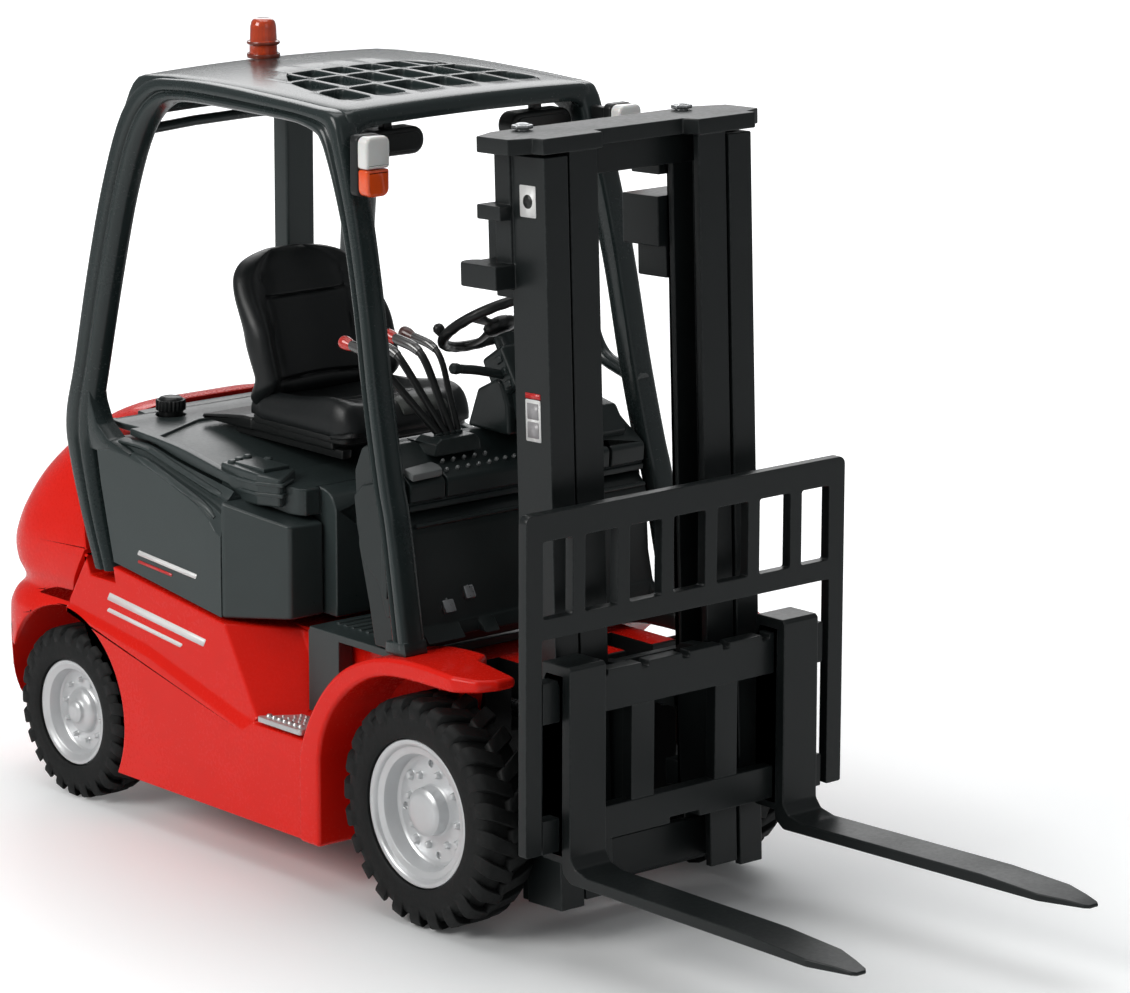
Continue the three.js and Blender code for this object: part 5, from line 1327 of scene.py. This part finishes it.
finish("backrest_shell", backrest(), VINYL, "seat_backrest", smooth=60, weighted=False)
finish("cushion_shell", cushion(), VINYL, "seat_cushion", smooth=60, weighted=False)
finish("cushion_front_pad", front_pad(), SEAT_PAD, smooth=50, weighted=False)
finish("seat_pan", seat_pan(), BLACK, "seat_base", smooth=36)
cushion_skirt = soft_prism([(-9.7, 28.9, 2.0), (9.7, 28.9, 2.0), (9.5, 46.6, 1.0),
                            (-9.5, 46.6, 1.0)], "z", 48.15, 49.2, 0.2, steps=6)
finish("cushion_skirt", cushion_skirt, BLACK, smooth=36)


# ============================================================ beacon
BEACON_PROFILE = [
    (0, 94.25), (0.9, 94.22), (1.22, 94.08), (1.42, 93.8), (1.52, 93.3), (1.58, 91.85),
    (1.62, 91.62), (1.86, 91.5), (1.92, 91.36), (1.86, 91.2), (1.66, 91.08), (1.64, 90.4),
    (1.7, 89.95), (1.62, 89.75), (0, 89.75)]


def beacon():
    bx, by, _ = centre("beacon_lens")
    glass = lathe(BEACON_PROFILE, "z", bx, by, 72)
    with editing(glass) as bm:          # 24 shallow flutes
        for v in bm.verts:
            if 91.75 < v.co.z < 93.7 or 90.2 < v.co.z < 91.05:
                swell = 1 + 0.018 * cos(24 * atan2(v.co.y - by, v.co.x - bx))
                v.co.x = bx + (v.co.x - bx) * swell
                v.co.y = by + (v.co.y - by) * swell
    finish("beacon_glass", glass, BEACON, "beacon_lens", smooth=40, weighted=False)
    foot = lathe([(0, 90.1), (1.95, 90.1), (2.0, 89.95), (1.95, 89.6), (0, 89.6)],
                 "z", bx, by, 48)
    band = lathe([(1.6, 91.6), (1.92, 91.55), (1.99, 91.38), (1.92, 91.2), (1.6, 91.15)],
                 "z", bx, by, 48, closed=True)
    finish("beacon_ring", merge(foot, band), BEACON_RING, smooth=50,
           weighted=False)


beacon()


# ============================================================ lamps
def lamp_block(x0, x1, z0, z1, low_radius, high_radius, y0, y1, width, segments, steps):
    """Rounded rectangle in x and z, pulled along y."""
    outline = [(x0, z0, low_radius), (x1, z0, low_radius), (x1, z1, high_radius),
               (x0, z1, high_radius)]
    return soft_prism(outline, "y", y0, y1, width, segments, steps)


for side_sign, side_name in SIDES:
    shell = merge(lamp_block(-20.25, -16.75, 80.35, 87.15, 0.6, 0.7, 12.6, 14.0, 0.3, 3, 5),
                  soft_box(-18.2, -17.2, 13.8, 16.6, 85.2, 86.6, 0.25))
    finish("lamp_shell_" + side_name, on_side(shell, side_sign), BLACK,
           "lamp_housing_" + side_name, smooth=36)
    white = lamp_block(-20.2, -16.8, 83.52, 87.1, 0.35, 0.8, 11.0, 12.8, 0.42, 4, 6)
    finish("lamp_white_" + side_name, on_side(white, side_sign), WHITE,
           "marker_lens_" + side_name, smooth=50, weighted=False)
    orange = lamp_block(-20.1, -16.9, 80.4, 83.42, 0.9, 0.25, 11.0, 12.8, 0.38, 4, 6)
    finish("lamp_orange_" + side_name, on_side(orange, side_sign), ORANGE,
           "indicator_lens_" + side_name, smooth=50, weighted=False)
    work = merge(lamp_block(-15.5, -6.4, 83.3, 86.45, 1.5, 1.5, 17.7, 20.5, 0.5, 4, 8),
                 lamp_block(-14.9, -7.0, 83.85, 85.9, 1.0, 1.0, 17.55, 17.9, 0.12, 2, 8),
                 soft_box(-11.6, -10.4, 18.6, 19.8, 86.1, 87.6, 0.2))
    finish("work_lamp_body_" + side_name, on_side(work, side_sign), BLACK,
           "work_lamp_" + side_name, smooth=40)


# ============================================================ step plates
STUD_PITCH = 0.98
EDGE_STUD = [(0, 18.52), (0.24, 18.5), (0.36, 18.36), (0.42, 18.1), (0, 18.1)]
FIELD_STUD = [(0, 18.45), (0.14, 18.44), (0.2, 18.3), (0.24, 18.1), (0, 18.1)]


def step_plate():
    plate = soft_prism([(-22.2, 21.2, 0.5), (-17.6, 21.2, 0.3), (-17.6, 26.4, 0.3),
                        (-22.2, 29.6, 0.3)], "z", 17.5, 18.2, 0.14, steps=4)
    bumps = [lathe(EDGE_STUD, "z", -21.25, 22.3 + i * STUD_PITCH, 16) for i in range(7)]
    # smaller studs as far as the slanting rear edge
    bumps += [lathe(FIELD_STUD, "z", -20.2 + 0.9 * j, 22.0 + i * STUD_PITCH, 12)
              for i in range(7) for j in range(3)
              if 22.0 + i * STUD_PITCH < 28.9 - (2.0 + 0.9 * j) * 0.70]
    return merge(plate, *bumps)


for side_sign, side_name in SIDES:
    finish("tread_" + side_name, on_side(step_plate(), side_sign), STEP,
           "step_plate_" + side_name, smooth=40)


# ============================================================ mast, axles
LIFT_X, LIFT_Y = 11.6, -8.3     # lift cylinder centres
BARREL = [(0.80, 69.9), (0.86, 70.0), (1.2, 70.0), (1.36, 69.9), (1.4, 69.7), (1.4, 68.2),
          (1.34, 68.05), (1.34, 67.7), (1.4, 67.55), (1.4, 9.2), (1.3, 8.8), (1.1, 8.6),
          (0.6, 8.6), (0.6, 9.0), (0.80, 10.2)]
ROD = [(0, 89.1), (0.62, 89.1), (0.7, 89.0), (0.7, 12.3), (0.6, 12.1), (0, 12.1)]
ROD_DOME = [(0, 89.62), (0.5, 89.58), (0.78, 89.45), (0.86, 89.3), (0, 89.3)]


def lift_cylinder(x, side_name):
    node = "lift_barrel_" + side_name
    finish("lift_barrel_body_" + side_name, lathe(BARREL, "z", x, LIFT_Y, 40, closed=True), MAST,
           node, body=BODY[node], lean=True, smooth=34)
    node = "lift_rod_" + side_name
    hexagon = [(x + 1.22 * cos(pi / 3 * k + 0.3), LIFT_Y + 1.22 * sin(pi / 3 * k + 0.3))
               for k in range(6)]
    rod = merge(lathe(ROD, "z", x, LIFT_Y, 32), bevel(prism(hexagon, "z", 88.95, 89.4), 0.12, 30),
                lathe(ROD_DOME, "z", x, LIFT_Y, 24))
    finish("lift_rod_chrome_" + side_name, rod, STEEL, node, body=BODY[node], lean=True,
           smooth=34)


refined("outer_mast", MAST, 0.15, 30, "mast_outer_stage")
refined("inner_mast", MAST, 0.14, 30, "mast_inner_stage")
for side_sign, side_name in SIDES:
    lift_cylinder(side_sign * LIFT_X, side_name)
refined("mast_pivot_pin", STEEL, 0.12, 30)
refined("base_plate", BLACK, 0.25, 30)
for _, side_name in SIDES:
    refined("tilt_barrel_" + side_name, MAST, 0.15)
    refined("tilt_rod_" + side_name, STEEL, 0.08)
    refined("steering_knuckle_" + side_name, STEEL, 0.10)
refined("front_axle", STEEL, 0.2)
refined("rear_axle_beam", BLACK, 0.18)
refined("tie_rod", STEEL, 0.10)


# ============================================================ carriage, load backrest, forks
BAR_FRONT, BAR_BACK = -19.4, -17.6      # y faces of the fork bars
GRID_HALF, GRID_TOP = 23.5, 50.6
GRID_PITCH, GRID_BAR = 6.4, 1.8         # openings and the bars between them
FORK_X, FORK_HALF, FORK_TIP = 15.8, 2.6, -63.6
FORK_PROFILE = [
    (-21.1, 33.1, 0.3), (-20.7, 33.45, 0.3), (-16.4, 33.4, 0.3), (-16.4, 30.8, 0.15),
    (-17.3, 30.8, 0.15), (-17.3, 32.1), (-19.7, 32.1), (-19.7, 12.3), (-17.3, 12.3),
    (-17.3, 14.0, 0.15), (-16.5, 14.0, 0.15), (-16.5, 11.3, 0.3), (-19.7, 11.3, 0.2),
    (-19.9, 10.2, 0.6), (-21.2, 9.3, 1.0), (FORK_TIP, 9.3), (FORK_TIP, 9.7),
    (FORK_TIP + 2.5, 10.0), (-50.0, 10.6), (-24.0, 10.6), (-22.0, 11.1, 0.8),
    (-21.2, 12.2, 0.8)]                 # (y, z)
FORK_PLAN_RIGHT = [
    (-FORK_HALF, -14), (-FORK_HALF, FORK_TIP + 5.6, 0.9),
    (-FORK_HALF + 1.55, FORK_TIP + 0.5, 0.5), (-FORK_HALF + 2.0, FORK_TIP, 0.2)]


def carriage():
    bars = join(box(-20.8, 20.8, BAR_FRONT, BAR_BACK, 27.1, 31.8),
                box(-20.8, 20.8, BAR_FRONT, BAR_BACK, 12.6, 16.4))
    for x in range(-18, 19, 6):         # notches in the top edge
        notch = [(x - 0.62, 33), (x - 0.5, 31.15, 0.2), (x + 0.5, 31.15, 0.2), (x + 0.62, 33)]
        bars = cut(bars, prism(rounded(notch, 3), "y", BAR_FRONT - 1, BAR_BACK + 1))
    bars = cut(bars, box(-2.2, 2.2, BAR_FRONT - 1, BAR_BACK + 1, 12.0, 13.3))
    bevel(bars, 0.18, 30)
    posts = [soft_box(*sorted((s * 4.5, s * 7.9)), BAR_FRONT + 0.12, BAR_BACK - 0.1, 15.5, 28.0,
                      0.16) for s in (-1, 1)]
    bracket = [(BAR_BACK - 0.2, 13.2), (-12.9, 13.6, 1.2), (-11.8, 30.6, 1.2),
               (BAR_BACK - 0.2, 31.2)]
    brackets = []
    for s in (-1, 1):
        brackets.append(soft_prism(bracket, "x", *sorted((s * 5.2, s * 6.9)), 0.14, steps=4))
        roller = [(r, s * x) for r, x in (
            (0, 9.7), (0.9, 9.7), (1.15, 9.58), (1.25, 9.35), (1.25, 6.8), (1.1, 6.5), (0, 6.5))]
        for y, z in ((-12.55, 28.4), (-13.05, 15.6)):
            brackets.append(lathe(roller, "x", y, z, 28))
    head = [(r, BAR_FRONT + y) for r, y in
            ((0, -0.28), (0.3, -0.27), (0.42, -0.16), (0.46, 0.1), (0, 0.1))]
    bolts = [lathe(head, "y", x, z, 14) for x in (-20.0, -11.2, 11.2, 20.0) for z in (29.3, 14.4)]
    # the bolts stay out of the frame: its mesh is bars, posts and brackets alone
    for bolt in bolts:
        bpy.data.objects.remove(bolt)
    return merge(bars, *posts, *brackets)


def backrest_grid():
    outline = [(-GRID_HALF, 12.8, 0.3), (-21.2, 12.8, 0.3), (-21.2, 36.7, 0.25),
               (21.2, 36.7, 0.25), (21.2, 12.8, 0.3), (GRID_HALF, 12.8, 0.3),
               (GRID_HALF, GRID_TOP, 0.9), (-GRID_HALF, GRID_TOP, 0.9)]
    obj = prism(rounded(outline, 4), "y", -19.8, -18.5)
    half = (GRID_PITCH - GRID_BAR) / 2
    for k in range(7):
        x = (k - 3) * GRID_PITCH
        x0 = x - half + (0.45 if k == 0 else 0)     # the end openings are narrower
        x1 = x + half - (0.45 if k == 6 else 0)
        hole = [(x0, 39.0, 0.25), (x1, 39.0, 0.25), (x1, 47.5, 0.25), (x0, 47.5, 0.25)]
        obj = cut(obj, prism(rounded(hole, 3), "y", -21, -17))
    bevel(obj, 0.13, 30)
    ribs = [soft_box(*sorted((s * 21.5, s * 23.1)), -18.6, -18.2, 13.4, 49.6, 0.12)
            for s in (-1, 1)]           # on the back of the side posts
    return merge(obj, *ribs)


def fork(side):
    plan = FORK_PLAN_RIGHT + [(-p[0], *p[1:]) for p in reversed(FORK_PLAN_RIGHT)]
    obj = intersect(prism(rounded(FORK_PROFILE), "x", -FORK_HALF, FORK_HALF),
                    prism(rounded(plan), "z", 0, 60))
    bevel(obj, 0.16, 30, 3)
    if side > 0:                        # the left blade is a little splayed
        for v in obj.data.vertices:
            v.co.x += 0.07 * max(0.0, -21.2 - v.co.y)
    return placed(obj, Matrix.Translation((side * FORK_X, 0, 0)))


finish("carriage_frame", carriage(), MAST, "carriage", body=BODY["carriage"], smooth=34)
finish("backrest_grid", backrest_grid(), MAST, "load_backrest", body=BODY["load_backrest"],
       smooth=34)
for side_sign, side_name in SIDES:
    finish("fork_blade_" + side_name, fork(side_sign), MAST, "fork_" + side_name,
           body=BODY["fork_" + side_name], smooth=34)


# ============================================================ labels and stripes
def sticker(corners, x, thick, radius):
    """Thin plate on a side face; corners are (y, z)."""
    return prism(rounded([(*c, radius) for c in corners], 3), "x", x, x + thick)


def label(y0, y1, z0, z1, x, thick, radius=0.15):
    return sticker([(y0, z0), (y1, z0), (y1, z1), (y0, z1)], x, thick, radius)


def stripe(y0, z0, y1, z1, height, x, slant=0.6):
    return sticker([(y0, z0), (y1, z1), (y1 - slant, z1 + height), (y0 - slant, z0 + height)],
                   x, 0.06, 0.12)


mast_labels = (
    ("plain", label(-14.35, -11.75, 80.1, 83.55, -15.12, 0.08), STRIPE_WHITE, "white_lens"),
    ("dot", lathe([(0, -15.16), (0.75, -15.15), (0.78, -15.08), (0, -15.08)], "x", -13.05, 81.8,
                  28), BLACK, "black_plastic"),
    ("small", label(-14.3, -11.85, 55.7, 60.3, -15.11, 0.07), STRIPE_WHITE, "white_lens"),
    ("panes", merge(*[label(-14.0, -12.15, z, z + 1.75, -15.15, 0.06, 0.1)
                      for z in (56.1, 58.15)]), LABEL_GREY, "grey_plastic"),
    ("red", label(-14.3, -11.85, 60.4, 61.0, -15.11, 0.07, 0.05), STRIPE_RED, "red_paint"))
for label_name, piece, paint, paint_slot in mast_labels:
    finish("mast_label_" + label_name, piece, paint, body=BODY["outer_mast"],
           lean=True, smooth=0, weighted=False)
for side_sign, side_name in SIDES:
    white = merge(stripe(59.0, 26.2, 40.0, 24.2, 0.95, -21.80),
                  stripe(59.2, 24.75, 44.5, 23.2, 0.5, -21.80),
                  stripe(53.2, 32.7, 41.8, 31.9, 0.6, -21.47, 0.4))
    red = stripe(53.2, 31.75, 46.5, 31.3, 0.35, -21.47, 0.3)
    finish("body_stripe_" + side_name, on_side(white, side_sign), STRIPE_WHITE,
           smooth=0, weighted=False)
    finish("cover_stripe_" + side_name, on_side(red, side_sign), STRIPE_RED,
           smooth=0, weighted=False)


# ============================================================ stage, light, camera (metres)
def stage_floor():
    """Pale floor with a painted glow that brightens away from the truck, for camera rays only."""
    mesh = bpy.data.meshes.new("floor")
    bm = bmesh.new()
    bmesh.ops.create_grid(bm, x_segments=1, y_segments=1, size=6.0)
    bm.to_mesh(mesh)
    bm.free()
    floor = bpy.data.objects.new("floor", mesh)
    bpy.context.scene.collection.objects.link(floor)
    mat = bpy.data.materials.new("floor_painted_glow")
    mat.use_nodes = True
    nodes, wire = mat.node_tree.nodes, mat.node_tree.links.new
    shader = nodes["Principled BSDF"]
    for key, value in {"Base Color": (0.84, 0.855, 0.86, 1), "Roughness": 0.5,
                       "Specular IOR Level": 0.12, "Emission Color": (1.0, 1.0, 1.0, 1)}.items():
        shader.inputs[key].default_value = value
    geometry = nodes.new("ShaderNodeNewGeometry")
    stretch = nodes.new("ShaderNodeVectorMath")
    stretch.operation = "MULTIPLY"
    stretch.inputs[1].default_value = (1.7, 1.0, 0.0)
    distance = nodes.new("ShaderNodeVectorMath")
    distance.operation = "LENGTH"
    glow = nodes.new("ShaderNodeValToRGB")
    # painted light: the glow is nil close to the truck and grows outward
    set_ramp(glow, (0.040, (0.03,) * 3), (0.40, (0.72,) * 3), (0.11, (0.42,) * 3))
    rays = nodes.new("ShaderNodeLightPath")
    strength = nodes.new("ShaderNodeMath")
    strength.operation = "MULTIPLY"
    wire(geometry.outputs["Position"], stretch.inputs[0])
    wire(stretch.outputs[0], distance.inputs[0])
    wire(distance.outputs["Value"], glow.inputs[0])
    wire(glow.outputs[0], strength.inputs[0])
    wire(rays.outputs["Is Camera Ray"], strength.inputs[1])
    wire(strength.outputs[0], shader.inputs["Emission Strength"])
    mesh.materials.append(mat)


def studio_world():
    """Dim graded light for the truck, near white for the camera."""
    world = bpy.data.worlds.new("studio")
    bpy.context.scene.world = world
    world.use_nodes = True
    nodes, wire = world.node_tree.nodes, world.node_tree.links.new
    nodes.clear()
    output = nodes.new("ShaderNodeOutputWorld")
    ambient = nodes.new("ShaderNodeBackground")
    coords = nodes.new("ShaderNodeTexCoord")
    split = nodes.new("ShaderNodeSeparateXYZ")
    sky = nodes.new("ShaderNodeValToRGB")
    wire(coords.outputs["Generated"], split.inputs[0])
    wire(split.outputs["Z"], sky.inputs[0])
    set_ramp(sky, (0.0, (0.93, 0.95, 0.96)), (1.0, (1, 1, 1)), (0.35, (0.62, 0.64, 0.66)))
    wire(sky.outputs[0], ambient.inputs["Color"])
    ambient.inputs["Strength"].default_value = 0.29
    backdrop = nodes.new("ShaderNodeBackground")
    backdrop.inputs["Color"].default_value = (0.965, 0.975, 0.98, 1)
    backdrop.inputs["Strength"].default_value = 1.0
    rays = nodes.new("ShaderNodeLightPath")
    mix = nodes.new("ShaderNodeMixShader")
    wire(rays.outputs["Is Camera Ray"], mix.inputs[0])
    wire(ambient.outputs[0], mix.inputs[1])
    wire(backdrop.outputs[0], mix.inputs[2])
    wire(mix.outputs[0], output.inputs[0])


def softbox(name, location, target, size, energy, color=(1, 1, 1), size_y=None):
    light = bpy.data.lights.new(name, "AREA")
    light.energy = energy
    light.size = size
    light.color = color
    if size_y:
        light.shape = "RECTANGLE"
        light.size_y = size_y
    obj = bpy.data.objects.new(name, light)
    bpy.context.scene.collection.objects.link(obj)
    obj.location = location
    aim = Vector(target) - Vector(location)
    obj.rotation_euler = aim.to_track_quat("-Z", "Y").to_euler()


def camera():
    """Long lens from the front right, a little above."""
    azimuth, elevation, roll = radians(-40.963), radians(12.977), radians(0.169)
    distance = 547.06                               # mm from the target
    target = Vector((0, 1.023, 45.727))             # mm
    data = bpy.data.cameras.new("camera")
    obj = bpy.data.objects.new("camera", data)
    bpy.context.scene.collection.objects.link(obj)
    back = Vector((sin(azimuth) * cos(elevation), -cos(azimuth) * cos(elevation), sin(elevation)))
    forward = -back
    level = forward.cross(Vector((0, 0, 1))).normalized()
    upright = level.cross(forward)
    right = level * cos(roll) + upright * sin(roll)
    up = -level * sin(roll) + upright * cos(roll)
    spot = target + back * distance
    spot = Vector((spot.x / 1000, spot.y / 1000 + AXLE_Y, spot.z / 1000))
    obj.matrix_world = Matrix((*[(right[i], up[i], back[i], spot[i]) for i in range(3)],
                               (0, 0, 0, 1)))
    data.sensor_fit = "HORIZONTAL"
    data.sensor_width = 36
    data.lens = 155.33363
    data.clip_start = 0.01
    data.clip_end = 50
    bpy.context.scene.camera = obj


stage_floor()
studio_world()
softbox("softbox_left", location=(-0.62, 0.12, 0.44), target=(0, 0, 0.03), size=0.40,
        energy=2.9, color=(1, 0.99, 0.97), size_y=0.34)
softbox("softbox_top", location=(0.05, 0.10, 0.75), target=(0, 0, 0.03), size=0.60, energy=2.0)
softbox("softbox_front", location=(-0.10, -0.85, 0.40), target=(0, 0, 0.04), size=0.45,
        energy=0.26, color=(0.97, 0.99, 1))
softbox("softbox_back", location=(0.45, 0.55, 0.40), target=(0, 0, 0.05), size=0.40, energy=1.0)
camera()
view = bpy.context.scene.view_settings
view.view_transform = "Standard"
view.look = "None"
view.exposure = 0.0
view.gamma = 1.0
